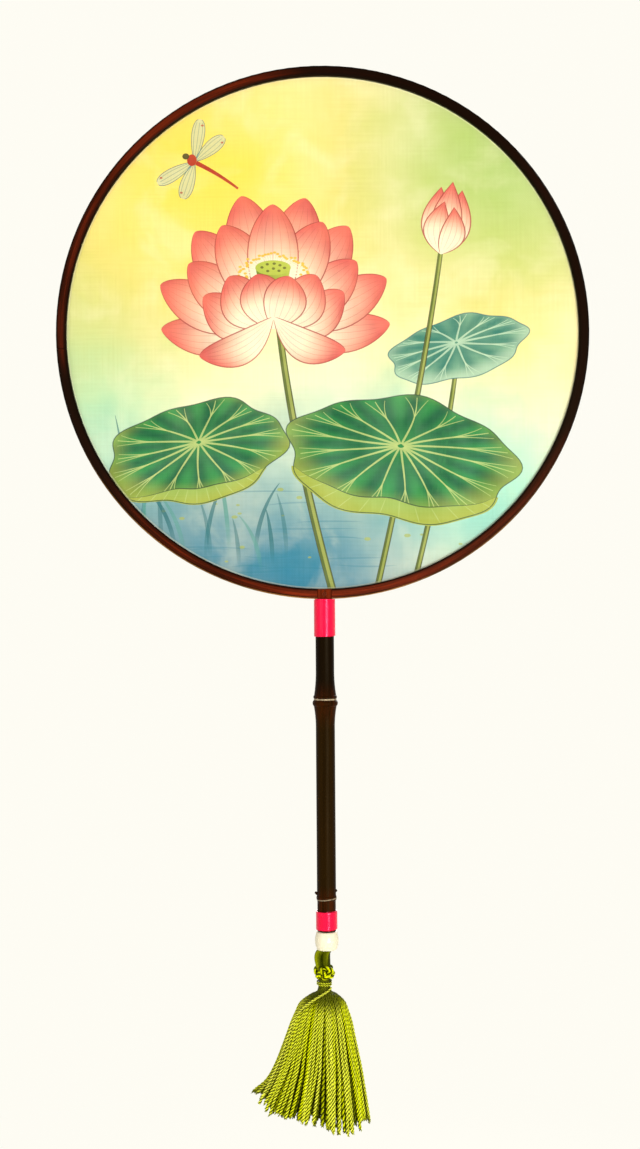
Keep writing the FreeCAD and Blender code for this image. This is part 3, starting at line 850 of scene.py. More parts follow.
def paint_reeds(canvas, rng):
    """Thin blades at the water's edge."""
    count = 20
    widths = 1.9 * np.sin(np.pi * np.linspace(0.0, 1.0, count) ** 0.6) ** 0.8 + 0.2
    for number in range(15):
        foot = np.array([-104.0 + 6.2 * number + rng.uniform(-3.0, 3.0), -112.0 + rng.uniform(-6.0, 4.0)])
        height = rng.uniform(38.0, 86.0) * (1.0 - 0.045 * number)
        lean = rng.uniform(-20.0, 14.0)
        line = bow(foot, foot + [lean * 0.1, height * 0.62], foot + [lean, height], count)
        tone = REED if number % 3 else REED_PALE
        canvas.stroke(line, widths, tone, 0.55 + 0.2 * (number % 2), (foot[1] - 2.0, foot[1] + 0.5 * height))


def paint_dragonfly(canvas, middle, turn):
    """A small darter with four clear wings."""
    middle = np.asarray(middle, float)
    for angle, length, width in ((-62, 21, 6.4), (66, 21, 6.4), (-104, 19, 6.8), (108, 19, 6.8)):
        wing = Petal(middle, turn + angle, length, width, 0.0, 0.66)
        canvas.plain(wing.outline(), WING, 0.45)
        for across in (-0.6, 0.0, 0.6):
            canvas.stroke(wing.edge(across, 0.05, 0.92, 10), 0.24, REED, 0.6)
        for across in (-0.99, 0.99):
            canvas.stroke(wing.edge(across, 0.01, 0.99, 20), 0.34, REED, 0.8)
        canvas.dot(wing.point([0.86], 0.55)[0], 0.75, BODY_RED, 0.8, 0.7, 8)
    ahead = np.array([math.sin(math.radians(turn)), math.cos(math.radians(turn))])
    tail = bow(middle - ahead, middle - ahead * 12.0 + [1.5, 0.5], middle - ahead * 25.0, 20)
    canvas.stroke(tail, np.linspace(2.2, 1.1, len(tail)), BODY_RED, 1.0)
    for number in range(3, 19, 3):
        canvas.dot(tail[number], 0.55, PETAL_LINE, 0.8, 1.0, 8)
    canvas.dot(middle + ahead * 1.5, 2.4, BODY_RED, 1.0, 1.2, 16)
    canvas.dot(middle + ahead * 5.0, 1.7, STALK_LINE, 0.95, 0.9, 14)


def paint_ripples(canvas, rng):
    """Broken water lines and floating specks."""
    for _ in range(16):
        middle = np.array([rng.uniform(-70.0, 70.0), rng.uniform(-118.0, -78.0)])
        reach = rng.uniform(9.0, 24.0)
        line = bow(middle - [reach, 0.0], middle + [0.0, rng.uniform(-2.5, 2.5)],
                   middle + [reach, rng.uniform(-1.0, 1.0)], 16)
        canvas.pressed(line, 0.75, RIPPLE, 0.35, 0.1, 0.1)
    for _ in range(34):
        spot = (rng.uniform(-82.0, 86.0), rng.uniform(-112.0, -72.0))
        canvas.dot(spot, rng.uniform(0.7, 1.7), LEAF_RIM, 0.7, 0.55, 9)


def paint_pond(face):
    """All the brushed areas of the face, from the farthest to the nearest."""
    rng = random.Random(11)
    canvas = Canvas()
    far = LeafTones(FAR_DEEP, FAR_BRIGHT, FAR_VEIN, FAR_VEIN, REED)
    green = LeafTones(face.leaf_deep, face.leaf_bright, LEAF_RIM, LEAF_VEIN, LEAF_LINE)
    far_leaf = Leaf(centre=(66, -8), reach=34, depth=15, turn=14, hub=(0.0, 0.2), phase=1.0, veins=13)
    left_leaf = Leaf(centre=(-62, -58), reach=44, depth=24, turn=12, hub=(0.05, 0.2), phase=2.2, veins=15)
    right_leaf = Leaf(centre=(38, -62), reach=56, depth=30, turn=-8, hub=(-0.02, 0.22), phase=0.4, veins=17)
    paint_ripples(canvas, rng)
    paint_reeds(canvas, rng)
    paint_stem(canvas, bow((66, -10), (60, -60), (44, -122)), 2.6)
    paint_leaf(canvas, far_leaf, far)
    paint_stem(canvas, bow((58, 40), (50, -20), (26, -124)), 2.8)
    paint_bud(canvas, (58, 38), 10, face)
    paint_stem(canvas, bow((-22, 10), (-16, -50), (4, -126), 34), 3.8)
    paint_leaf(canvas, left_leaf, green, (215, 320))
    paint_leaf(canvas, right_leaf, green, (200, 335))
    paint_flower(canvas, (-24, 6), face, rng)
    paint_dragonfly(canvas, (-62, 84), -58)
    return canvas.patches


# Silk discs

RIM_POINTS = 240
CUT_TOLERANCE = 1e-4
ROW_SHARE = 0.866
RIM_GAP = 0.6
FACE_GRID = 2.2
BACK_GRID = 9.0
SHOW_THROUGH = 0.30
LEAST_COVER = 1e-6
# Washes: colour, millimetres right of and above the middle of the face, reach in millimetres, strength
WASHES = (
    ("glow", -62, 78, 165, 0.95), ("glow", 85, 10, 100, 0.60), ("haze", 88, 78, 120, 0.80),
    ("haze", -120, -18, 95, 0.55), ("mint", 0, -62, 105, 0.45), ("mint", 80, -80, 85, 0.85),
    ("mint", -105, -62, 75, 0.60), ("water", -10, -132, 128, 1.0), ("water", -85, -104, 78, 0.78),
)
POOLED_PAINT = srgb(150, 186, 190)
SLUB_SHADE = srgb(206, 190, 140)
THREAD_SHADE = srgb(150, 130, 90)
PAPER_DARK = srgb(232, 224, 200)
PAPER_LIGHT = srgb(250, 244, 226)
BARE_BORDER = HOOP_RADIUS - HOOP_WIDTH


def cut_disc(outlines, radius, spacing):
    """Triangles of a disc, in millimetres, cut along every outline."""
    turn = round_points(RIM_POINTS)
    points, edges = [], []
    for ring in [np.column_stack([np.cos(turn), np.sin(turn)]) * radius] + outlines:
        first = len(points)
        points.extend(Vector(point) for point in ring)
        edges.extend((first + number, first + (number + 1) % len(ring)) for number in range(len(ring)))
    rows = int(radius / (spacing * ROW_SHARE)) + 1
    for row in range(-rows, rows + 1):
        for column in range(-rows - 1, rows + 2):
            spot = Vector(((column + 0.5 * (row % 2)) * spacing, row * spacing * ROW_SHARE))
            if spot.length < radius - RIM_GAP * spacing:
                points.append(spot)
    found = delaunay_2d_cdt(points, edges, [], 0, CUT_TOLERANCE, False)
    flat = np.array([tuple(point) for point in found[0]])
    triangles = np.array([tuple(face) for face in found[2]])
    middle = flat[triangles].mean(axis=1)
    triangles = triangles[np.linalg.norm(middle, axis=1) < radius * math.cos(math.pi / RIM_POINTS)]
    used, renumbered = np.unique(triangles, return_inverse=True)
    return flat[used], renumbered.reshape(-1, 3)


def inside(points, ring):
    """Which points lie inside a closed ring."""
    hit = np.zeros(len(points), bool)
    across, up = points[:, 0], points[:, 1]
    for (x1, y1), (x2, y2) in zip(np.roll(ring, 1, axis=0), ring):
        if y1 != y2:
            hit ^= ((y1 > up) != (y2 > up)) & (across < (x2 - x1) * (up - y1) / (y2 - y1) + x1)
    return hit


def brush(patches, flat, triangles):
    """Colour and cover at every corner of every triangle, each area laid over those before it."""
    spots = flat[triangles]
    middle = spots.mean(axis=1)
    paint = np.zeros((len(triangles), 3, 4))
    for outline, shade in patches:
        low, high = outline.min(axis=0), outline.max(axis=0)
        near = np.all((middle >= low) & (middle <= high), axis=1).nonzero()[0]
        near = near[inside(middle[near], outline)]
        if len(near):
            fresh = shade(spots[near].reshape(-1, 2)).reshape(-1, 3, 4)
            colour, over = fresh[..., :3], fresh[..., 3:]
            under = paint[near]
            kept = under[..., 3:] * (1.0 - over)
            cover = over + kept
            paint[near, :, :3] = (colour * over + under[..., :3] * kept) / np.maximum(cover, LEAST_COVER)
            paint[near, :, 3:] = cover
    return paint


def stretch_disc(name, patches, radius, spacing, outer_y, inner_y):
    """A thin closed silk disc whose outer side carries the paint."""
    flat, triangles = cut_disc([outline for outline, _ in patches], radius / MM, spacing)
    mesh = bpy.data.meshes.new(name)
    places = [(x * MM, outer_y, FACE_MIDDLE.z + z * MM) for x, z in flat]
    mesh.from_pydata(places, [], triangles.tolist())
    layer = mesh.color_attributes.new("paint", "FLOAT_COLOR", "CORNER")
    layer.data.foreach_set("color", brush(patches, flat, triangles).astype(np.float32).ravel())
    disc = bmesh.new()
    disc.from_mesh(mesh)
    rim = [edge for edge in disc.edges if edge.is_boundary]
    for drawn in bmesh.ops.extrude_edge_only(disc, edges=rim)["geom"]:
        if isinstance(drawn, bmesh.types.BMVert):
            drawn.co.y = inner_y
    bmesh.ops.holes_fill(disc, edges=[edge for edge in disc.edges if edge.is_boundary], sides=0)
    bmesh.ops.recalc_face_normals(disc, faces=disc.faces)
    disc.to_mesh(mesh)
    disc.free()
    return mesh


def silk_ground(finish, face):
    """The washed silk under the brushwork."""
    colour = face.ground
    for tone, right, up, reach, strength in WASHES:
        centre = (right * MM, FACE_MIDDLE.y, FACE_MIDDLE.z + up * MM)
        [mask] = finish.shared(wash, {"Vector": finish.place, "Centre": centre, "Reach": reach * MM})
        colour = finish.mix(mask * strength, colour, getattr(face, tone))
    bloom = finish.noise(finish.place, 34.0, 5.0, distortion=0.5)
    return finish.mix(bloom.ease(0.47, 0.70, 0.0, 0.20), colour, face.ground)


def silk_material(name, face, brushwork, show):
    """Plain woven silk with its washes, and the brushwork where there is any."""
    finish = Finish(name, specular_ior_level=0.25, sheen_weight=0.12, sheen_roughness=0.4)
    colour = finish.mix(show, face.ground, silk_ground(finish, face))
    if brushwork:
        paint, cover = finish.wires("ShaderNodeVertexColor", layer_name="paint")
        pool = finish.noise(finish.place, 46.0, 3.0)
        pooled = finish.mix(pool.ease(0.35, 0.75, 0.0, 0.28), paint, POOLED_PAINT, "MULTIPLY")
        colour = finish.mix(cover * pool.ease(0.30, 0.70, 0.93, 1.0), colour, pooled)
    height, slub = finish.shared(silk_weave, {"Vector": finish.place, "Pitch": face.weave_pitch})
    colour = finish.mix(slub.between(0.0, 0.10), colour, SLUB_SHADE, "MULTIPLY")
    # Painted shade where the weave dips between threads
    colour = finish.mix(height.ease(-1.0, 1.0, 0.10, 0.0), colour, THREAD_SHADE, "MULTIPLY")
    radius = finish.place.vector("SUBTRACT", FACE_MIDDLE).times(WITHOUT_DEPTH).length()
    pale_edge = radius.ease(BARE_BORDER - 0.9 * MM, BARE_BORDER - 0.5 * MM, 0.0, 0.25)
    return finish.dress(base_color=finish.mix(pale_edge, colour, face.ground), roughness=slub.between(0.50, 0.68),
                        normal=finish.bump(height, 0.35, 0.05 * MM))


def lining_material():
    """Stiff fibrous paper."""
    finish = Finish("backing_paper", roughness=0.85, specular_ior_level=0.2)
    [shade] = finish.shared(fibre, {"Vector": finish.place, "Scale": PAPER_FIBRE})
    return finish.dress(base_color=finish.mix(shade, PAPER_DARK, PAPER_LIGHT),
                        normal=finish.bump(shade, 0.2, 0.1 * MM))


def hold_silk(name, mesh, radius, node):
    """A round cut of silk in the place of a CAD piece."""
    piece = new_piece(name, mesh, "fan", [node])
    2.0 * radius
    2.0 * radius
    math.pi * radius ** 2


class FAN_OT_stretch_silk(bpy.types.Operator):
    """Stretch the painted front silk and the plain back silk over their paper"""

    bl_idname = "fan.stretch_silk"
    bl_label = "Stretch Silk"

    def execute(self, context):
        face = context.scene.fan_face
        radius = face.silk_radius
        front = stretch_disc("painted_silk", paint_pond(face), radius, FACE_GRID, SILK_LOW.y, SILK_HIGH.y)
        front.materials.append(silk_material("face_silk", face, True, 1.0))
        hold_silk("painted_silk", front, radius, "front_silk")
        back = stretch_disc("plain_silk", [], radius, BACK_GRID, BACK_HIGH.y, BACK_LOW.y)
        back.materials.append(silk_material("reverse_silk", face, False, SHOW_THROUGH))
        hold_silk("plain_silk", back, radius, "back_silk")
        dress_nodes(lining_material(), "face_lining")
        return {"FINISHED"}


# Thread and cord

# Stretch that turns the way from the tassel's middle line into the way out of its flat skirt
SKIRT_OUTWARD = (1.0, 4.8, 0.0)
TUCKED_TURN = 0.45
TUCKED_SHARE = 0.2
STEPS_IN_TURN = 40
THREAD_POINTS = 24
THREAD_ROUNDNESS = 0.20


def new_geometry(name, inputs):
    """The net of a new geometry tree with named inputs, their wires, and its output node."""
    return new_net("GeometryNodeTree", name, {"Geometry": SHAPE, **inputs, "Material": "NodeSocketMaterial"},
                   {"Geometry": SHAPE})


def close_geometry(net, result, shape, material):
    """Ends a tree in plain, smooth, finished geometry."""
    shape = net.change("SetShadeSmooth", shape)
    shape = net.change("RealizeInstances", shape)
    net.feed(result, 0, net.change("SetMaterial", shape, {"Material": material}))
    return net.tree


def unit_ring(net, count):
    """A circle of radius 1 as the section of a cord."""
    sockets = {"Resolution": count, "Radius": 1.0}
    return net.wire("GeometryNodeCurvePrimitiveCircle", "Curve", sockets, mode="RADIUS")


def groove_between(ply, turned):
    """How deep a point lies between two plies: 0 on a ply's crest and 1 in the groove."""
    right, up, _ = ply.axes()
    return (1.0 - (up.math("ARCTAN2", right) - turned).math("COSINE")) * 0.5


def ply_cord(name):
    """Twisted cord along every path, as thick as the path's own thickness."""
    net, given, result = new_geometry(name, {
        "Step": FLOAT, "Twist Pitch": FLOAT, "Plies": FLOAT, "Waist": FLOAT,
        "Profile Points": "NodeSocketInt", "Capped": "NodeSocketBool"})
    path = net.change("MeshToCurve", given["Geometry"])
    path = net.wire("GeometryNodeCurveSplineType", 0, {"Curve": path}, spline_type="CATMULL_ROM")
    path = net.wire("GeometryNodeResampleCurve", 0, {"Curve": path, "Length": given["Step"]}, mode="LENGTH")
    along, travelled, _ = net.wires("GeometryNodeSplineParameter")
    turns = travelled / given["Twist Pitch"] + net.recall("phase")
    spot = net.wire("GeometryNodeInputPosition")
    path = net.store(path, "along", along)
    path = net.store(path, "centre", spot, "FLOAT_VECTOR")
    path = net.store(path, "turned", turns * (given["Plies"] * TURN))
    right, up, _ = spot.axes()
    angle = up.math("ARCTAN2", right) * given["Plies"]
    ply = net.wire("ShaderNodeCombineXYZ", 0, {0: angle.math("COSINE"), 1: angle.math("SINE")})
    ring = net.store(unit_ring(net, given["Profile Points"]), "ply", ply, "FLOAT_VECTOR")
    thickness = net.recall("thickness")
    cord = net.change("CurveToMesh", path, {"Profile Curve": ring, "Scale": thickness,
                                            "Fill Caps": given["Capped"]})
    centre = net.recall("centre", "FLOAT_VECTOR")
    # How far each point faces out of the skirt, for the painted shade on the strands' flanks
    outward = centre.vector("SUBTRACT", KNOT_MIDDLE).times(SKIRT_OUTWARD).vector("NORMALIZE")
    facing = spot.vector("SUBTRACT", centre).vector("DOT_PRODUCT", outward, "Value") / thickness
    cord = net.store(cord, "facing", facing)
    groove = groove_between(net.recall("ply", "FLOAT_VECTOR"), net.recall("turned"))
    sunk = groove * given["Waist"] * thickness * -1.0
    cord = net.change("SetPosition", cord, {"Offset": net.wire("GeometryNodeInputNormal").scaled(sunk)})
    for helper in ("phase", "thickness", "centre"):
        cord = net.change("RemoveAttribute", cord, {"Name": helper})
    return close_geometry(net, result, cord, given["Material"])


def wound_thread(name):
    """Thread wound close on a round core, each turn a little uneven and both ends tucked in."""
    net, given, result = new_geometry(name, {
        "Foot": VECTOR, "Winding Radius": FLOAT, "Height": FLOAT, "Turns": FLOAT, "Thread Radius": FLOAT,
        "Unevenness": FLOAT})
    core, thread_radius = given["Winding Radius"], given["Thread Radius"]
    coil = net.wire("GeometryNodeCurveSpiral", 0, {
        "Resolution": STEPS_IN_TURN, "Rotations": given["Turns"], "Start Radius": core, "End Radius": core,
        "Height": given["Height"]})
    spot = net.wire("GeometryNodeInputPosition")
    share = net.wire("GeometryNodeSplineParameter", "Factor")
    from_end = share.math("MINIMUM", 1.0 - share) * given["Turns"]
    full = from_end.ease(0.0, TUCKED_TURN, TUCKED_SHARE, 1.0)
    uneven = (net.noise(spot, 320.0, 1.0) - 0.5) * given["Unevenness"]
    push = uneven + (full - 1.0) * thread_radius
    outward = spot.times(WITHOUT_HEIGHT).vector("NORMALIZE")
    coil = net.store(coil, "full", full)
    coil = net.change("SetPosition", coil, {"Offset": outward.scaled(push)})
    coil = net.wire("GeometryNodeSetCurveNormal", 0, {"Curve": coil}, mode="Z_UP")
    right, up = (part.math("ABSOLUTE").math("POWER", THREAD_ROUNDNESS) * part.math("SIGN")
                 for part in spot.axes()[:2])
    section = net.wire("ShaderNodeCombineXYZ", 0, {0: right, 1: up}).scaled(thread_radius)
    ring = net.change("SetPosition", unit_ring(net, THREAD_POINTS), {"Position": section})
    thread = net.change("CurveToMesh", coil, {"Profile Curve": ring, "Fill Caps": True,
                                              "Scale": net.recall("full")})
    thread = net.change("Transform", thread, {"Translation": given["Foot"]})
    return close_geometry(net, result, thread, given["Material"])


def grow(name, source, make, values):
    """Runs a geometry tree, made on its first use, over a mesh and returns the result as a plain mesh."""
    tree = bpy.data.node_groups.get(make.__name__) or make(make.__name__)
    holder = bpy.data.objects.new(name, source)
    bpy.context.scene.collection.objects.link(holder)
    modifier = holder.modifiers.new("grow", "NODES")
    modifier.node_group = tree
    for socket in tree.interface.items_tree:
        if socket.in_out == "INPUT" and socket.name in values:
            modifier[socket.identifier] = values[socket.name]
    graph = bpy.context.evaluated_depsgraph_get()
    mesh = bpy.data.meshes.new_from_object(holder.evaluated_get(graph), preserve_all_data_layers=True,
                                           depsgraph=graph)
    holder.modifiers.clear()
    bpy.data.objects.remove(holder)
    if not mesh.polygons:
        raise RuntimeError(f"the tree of {name} made no faces")
    shape = bmesh.new()
    shape.from_mesh(mesh)
    bmesh.ops.recalc_face_normals(shape, faces=shape.faces)
    shape.to_mesh(mesh)
    shape.free()
    mesh.name = name
    return mesh


def path_mesh(name, paths):
    """Open or closed paths as edges, with the thickness, tone and twist phase of each point."""
    places, edges = [], []
    kept = {"thickness": [], "tone": [], "phase": []}
    for path in paths:
        first, count = len(places), len(path["points"])
        drift = path.get("drift", 0.0) * np.linspace(-1.0, 1.0, count)
        places.extend(tuple(point) for point in path["points"])
        edges.extend((first + number, first + number + 1) for number in range(count - 1))
        if path.get("closed"):
            edges.append((first + count - 1, first))
        kept["thickness"].extend(np.broadcast_to(path["thickness"], count))
        kept["tone"].extend([path["tone"]] * count)
        kept["phase"].extend(path.get("phase", 0.0) + drift)
    mesh = bpy.data.meshes.new(name)
    mesh.from_pydata(places, edges, [])
    for attribute, values in kept.items():
        mesh.attributes.new(attribute, "FLOAT", "POINT").data.foreach_set("value", values)
    return mesh


def binding_material(thread):
    """Bright silk thread."""
    finish = Finish("binding_silk", specular_ior_level=0.62, specular_tint=(1.0, 0.28, 0.50))
    [shade] = finish.shared(fibre, {"Vector": finish.place, "Scale": BINDING_FIBRE})
    deep = tuple(part * 0.80 for part in thread.binding_red)
    colour = finish.mix(shade, deep, thread.binding_red)
    return finish.dress(base_color=colour, roughness=shade.between(0.24, 0.16),
                        normal=finish.bump(shade, 0.03, 0.05 * MM))


def cord_material(thread):
    """Green tassel cord: each strand its own tone, with painted shade in grooves, on flanks and under the
    knot.
    """
    finish = Finish("tassel_cord", specular_ior_level=0.12, specular_tint=(0.90, 1.0, 0.12))
    [shade] = finish.shared(fibre, {"Vector": finish.place, "Scale": CORD_FIBRE})
    tone, along, turned, facing = (finish.wire("ShaderNodeAttribute", "Fac", attribute_name=name)
                                   for name in ("tone", "along", "turned", "facing"))
    groove = groove_between(finish.wire("ShaderNodeAttribute", "Vector", attribute_name="ply"), turned)
    # Painted shade under the knot on the top of each strand, left off the brightest strand
    root_shade = along.ease(0.15, 0.29, 0.88, 0.0) * tone.ease(0.80, 0.98, 1.0, 0.0)
    dark_tone_and_shade = root_shade.most(tone.ease(-1.0, 0.0, 0.9, 0.0))
    colour = finish.mix(tone, thread.cord_green, thread.cord_bright)
    # Fibre mottling, then painted shade in the grooves, on the flanks that face into the skirt, under the
    # knot, and the dark tone, which on the inner layers and the neck is painted shade
    for dark in (shade.between(0.30, 0.0), groove.ease(0.32, 0.80, 0.0, 0.97),
                 facing.ease(-0.1, 0.8, 0.85, 0.0), dark_tone_and_shade):
        colour = finish.mix(dark, colour, thread.cord_dark)
    return finish.dress(base_color=colour, roughness=shade.between(0.62, 0.44),
                        normal=finish.bump(shade - groove * 3.0, 0.35, 0.1 * MM))


def shared_cord(thread):
    """The green cord's finish, made once."""
    return bpy.data.materials.get("tassel_cord") or cord_material(thread)


def grow_cord(name, paths, thread, step, plies, waist, points, pitch=None, capped=True):
    """Twisted green cord along paths, as one plain mesh. A cord with no pitch of its own has the strands'."""
    values = {"Step": step, "Twist Pitch": pitch or thread.twist_pitch, "Plies": plies, "Waist": waist,
              "Profile Points": points, "Capped": capped, "Material": shared_cord(thread)}
    return grow(name, path_mesh(f"{name}_paths", paths), ply_cord, values)


# Bindings, bead and knot

BINDING_RAISED = {"upper_binding": 0.80 * MM, "lower_binding": 1.1 * MM}
BINDING_PROUD = 0.15 * MM
BINDING_UNEVENNESS = 0.07 * MM
BEAD_HOLE = 2.4 * MM
BEAD_HOLE_SHADE = 3.6 * MM
KNOT_LEADS = 3
KNOT_BIGHTS = 5
KNOT_LATITUDE = math.radians(62.0)
KNOT_CORD = 1.15 * MM
KNOT_WEAVE = 0.8 * KNOT_CORD
KNOT_FLATNESS = 0.60
KNOT_STEPS = 180
KNOT_TWIST = 5.0 * MM
KNOT_CORE = 3.0 * MM
NECK_LEAN = 0.8 * MM
NECK_SIZES = {"step": 0.35 * MM, "plies": 2.0, "waist": 0.10, "points": 18, "pitch": 90.0 * MM}
KNOT_SIZES = {"step": 0.35 * MM, "plies": 2.0, "waist": 0.34, "points": 12, "capped": False}


def bead_material(thread):
    """Cream white stone with cloudy veins, and painted shade in and round its hole."""
    finish = Finish("bead_stone", specular_ior_level=0.5, coat_roughness=0.1, subsurface_weight=0.12,
                    subsurface_scale=1.5 * MM, subsurface_radius=(1.0, 0.9, 0.75))
    [shade] = finish.shared(fibre, {"Vector": finish.place, "Scale": BEAD_CLOUD})
    cloud = finish.noise(finish.place, 130.0, 4.0, distortion=1.4)
    colour = finish.mix(cloud.band(0.5, 0.01, 0.09) * 0.55, thread.bead_white, thread.bead_vein)
    # Painted shade in the bead's hole and round its mouth
    mouth = finish.place.times(WITHOUT_HEIGHT).length().ease(BEAD_HOLE, BEAD_HOLE_SHADE, 0.75, 0.0)
    colour = finish.mix(mouth, colour, thread.cord_dark)
    return finish.dress(base_color=colour, roughness=shade.between(0.22, 0.36),
                        coat_weight=cloud.ease(0.3, 0.7, 0.15, 0.4))


def neck_path(side):
    """One of the two cords from the bead's mouth into the knot, on the left or the right."""
    middle = KNOT_MIDDLE.x - NECK_LEAN
    points = [(side * 1.2 * MM, 0.0, BEAD_MOUTH + 2.0 * MM), (side * 1.25 * MM, 0.0, BEAD_MOUTH + 0.4 * MM),
              (0.7 * middle + side * 1.50 * MM, 0.0, BEAD_MOUTH - 1.2 * MM),
              (middle + side * 1.80 * MM, 0.0, BEAD_MOUTH - 2.6 * MM),
              (middle + side * 1.80 * MM, 0.0, KNOT_HIGH.z + 0.4 * MM),
              (KNOT_MIDDLE.x + side * 1.4 * MM, 0.0, KNOT_MIDDLE.z + 0.6 * MM)]
    # The neck cords' low tone paints them in shade
    return {"points": points, "thickness": np.array([1.3, 1.5, 2.1, 2.2, 2.2, 1.9]) * MM, "tone": -0.60}


def knot_points():
    """One cord that goes three times round a ball and over and under itself."""
    radius = (KNOT_HIGH.z - KNOT_LOW.z) / 2.0 - KNOT_CORD
    points = []
    for number in range(KNOT_STEPS):
        turn = TURN * KNOT_LEADS * number / KNOT_STEPS
        phase = KNOT_BIGHTS * turn / KNOT_LEADS
        latitude = KNOT_LATITUDE * math.cos(phase)
        way = Vector((math.cos(latitude) * math.cos(turn), math.cos(latitude) * math.sin(turn),
                      KNOT_FLATNESS * math.sin(latitude)))
        points.append(KNOT_MIDDLE + way * (radius + KNOT_WEAVE * math.sin(2.0 * phase)))
    return points


def fill_knot(mesh):
    """Adds a core to the knot, so that nothing shows through it."""
    shape = bmesh.new()
    shape.from_mesh(mesh)
    core = bmesh.ops.create_icosphere(shape, subdivisions=3, radius=KNOT_CORE)["verts"]
    bmesh.ops.scale(shape, verts=core, vec=(1.0, 1.0, 0.8))
    bmesh.ops.translate(shape, verts=core, vec=KNOT_MIDDLE)
    shape.to_mesh(mesh)
    shape.free()


class FAN_OT_wind_bindings(bpy.types.Operator):
    """Wind the red thread round both ends of the handle"""

    bl_idname = "fan.wind_bindings"
    bl_label = "Wind Bindings"

    def execute(self, context):
        thread = context.scene.fan_thread
        silk = binding_material(thread)
        radius = thread.binding_thread
        for name, raised in BINDING_RAISED.items():
            low, high = corners(name)
            height = high.z + raised - low.z - 2.0 * radius
            values = {"Foot": (0.0, 0.0, low.z + radius), "Height": height,
                      "Turns": height / thread.binding_pitch,
                      "Winding Radius": (high.x - low.x) / 2.0 + BINDING_PROUD - radius,
                      "Thread Radius": radius, "Unevenness": BINDING_UNEVENNESS, "Material": silk}
            mesh = grow(f"{name}_thread", bpy.data.meshes.new(name), wound_thread, values)
            new_piece(f"{name}_thread", mesh, "fan", [name])
        return {"FINISHED"}


class FAN_OT_dress_bead(bpy.types.Operator):
    """Finish the bead and the loop of cord inside it"""

    bl_idname = "fan.dress_bead"
    bl_label = "Dress Bead"

    def execute(self, context):
        thread = context.scene.fan_thread
        dress_nodes(bead_material(thread), "bead")
        dress_nodes(shared_cord(thread), "hanging_loop")
        return {"FINISHED"}


class FAN_OT_tie_knot(bpy.types.Operator):
    """Lay the two neck cords and tie the ball knot under the bead"""

    bl_idname = "fan.tie_knot"
    bl_label = "Tie Knot"

    def execute(self, context):
        thread = context.scene.fan_thread
        mesh = grow_cord("neck_cords", [neck_path(-1.0), neck_path(1.0)], thread, **NECK_SIZES)
        neck = new_piece("neck_cords", mesh, None, ["neck_cord_left", "neck_cord_right"])
        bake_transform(neck)
        points = knot_points()
        length = sum((points[number] - points[number - 1]).length for number in range(len(points)))
        twists = round(2.0 * length / KNOT_TWIST) / 2.0
        loop = {"points": points, "thickness": KNOT_CORD, "tone": -0.15, "closed": True}
        mesh = grow_cord("ball_knot", [loop], thread, pitch=length / twists, **KNOT_SIZES)
        fill_knot(mesh)
        new_piece("ball_knot", mesh, "tassel_head", ["tassel_knot"])
        return {"FINISHED"}


# Tassel skirt

SKIRT_WIDTH = 57.0 * MM
SKIRT_DEPTH = 26.0 * MM
SKIRT_LENGTH = 62.0 * MM
HEM_SLANT = math.tan(math.radians(15.0))
SHOULDER = SKIRT_TOP - 3.6 * MM
# Stations down the skirt: share of its length, then the middle line and half the width in shares of its
# width, half the depth in shares of its depth, and how much of the hem's slant is reached
STATION_DOWN = (0.0, 0.035, 0.095, 0.240, 0.590, 1.0)
STATION_MIDDLE = (0.0, -0.004, -0.016, -0.025, -0.046, -0.100)
STATION_WIDTH = (0.056, 0.120, 0.195, 0.257, 0.364, 0.500)
STATION_DEPTH = (0.123, 0.175, 0.230, 0.330, 0.430, 0.500)
STATION_SLANT = (0.0, 0.0, 0.0, 0.1, 0.5, 1.0)
PATH_DOWN = (0.0, 0.035, 0.095, 0.170, 0.260, 0.380, 0.500, 0.620, 0.740, 0.860, 1.0)
# Inner layers: share of the skirt's depth, of the outer layer's count, how much darker as painted shade, how
# much thicker
SKIRT_LAYERS = (
    (0.84, 1.20, 0.85, 1.05), (0.66, 0.80, 1.0, 1.2), (0.36, 0.28, 1.0, 1.5), (0.12, 0.10, 1.0, 2.0),
)
# Clumps in which the strands lean together: strength, how many round the skirt, and phase
CLUMPS = ((0.05, 9.0, 1.0), (0.04, 14.0, 2.3))
STRAND_END = 0.99
HEM_WAVE = 0.014
# A strand's thickness in shares of its radius: under the tie, below it, then added on the shoulder and lower
THICK_ROOT = 0.36
THICK_TOP = 0.46
THICK_SHOULDER = 0.38
THICK_HEM = 0.16
ROOT_RADIUS = 2.3 * MM
ROOT_RISE = 3.0 * MM
RIGHT_SHORTER = 0.085
LEFT_ASIDE = 1.2 * MM
LEFT_LIFT = 5.0 * MM
BRIGHTEST = 0.78
STRAND_SIZES = {"step": 0.40 * MM, "plies": 3.0, "waist": 0.34, "points": 12}
INNER_SIZES = {"step": 0.78 * MM, "plies": 2.0, "waist": 0.34, "points": 6}
FIBRE_SIZES = {"step": 0.9 * MM, "plies": 2.0, "waist": 0.0, "points": 4}
TIE_SIZES = {"step": 0.3 * MM, "plies": 2.0, "waist": 0.3, "points": 8, "pitch": 2.4 * MM}
FIBRES = 8
FIBRE_THICKNESS = np.array([0.24, 0.22, 0.12]) * MM
LOOSE_ANGLE = math.radians(206.0)
LOOSE_DEPTH = 1.06
TIE_THREAD = 0.42 * MM
TIE_RADIUS = 3.2 * MM + 0.5 * TIE_THREAD
TIE_TURNS = 2.4
TIE_STEPS = 60
TIE_RISE = 1.4 * MM
TIE_DROP = 2.4 * MM


def from_knot(right, back, height):
    """A point to the right of and behind the knot's middle, at a height."""
    return Vector((KNOT_MIDDLE.x + right, back, height))


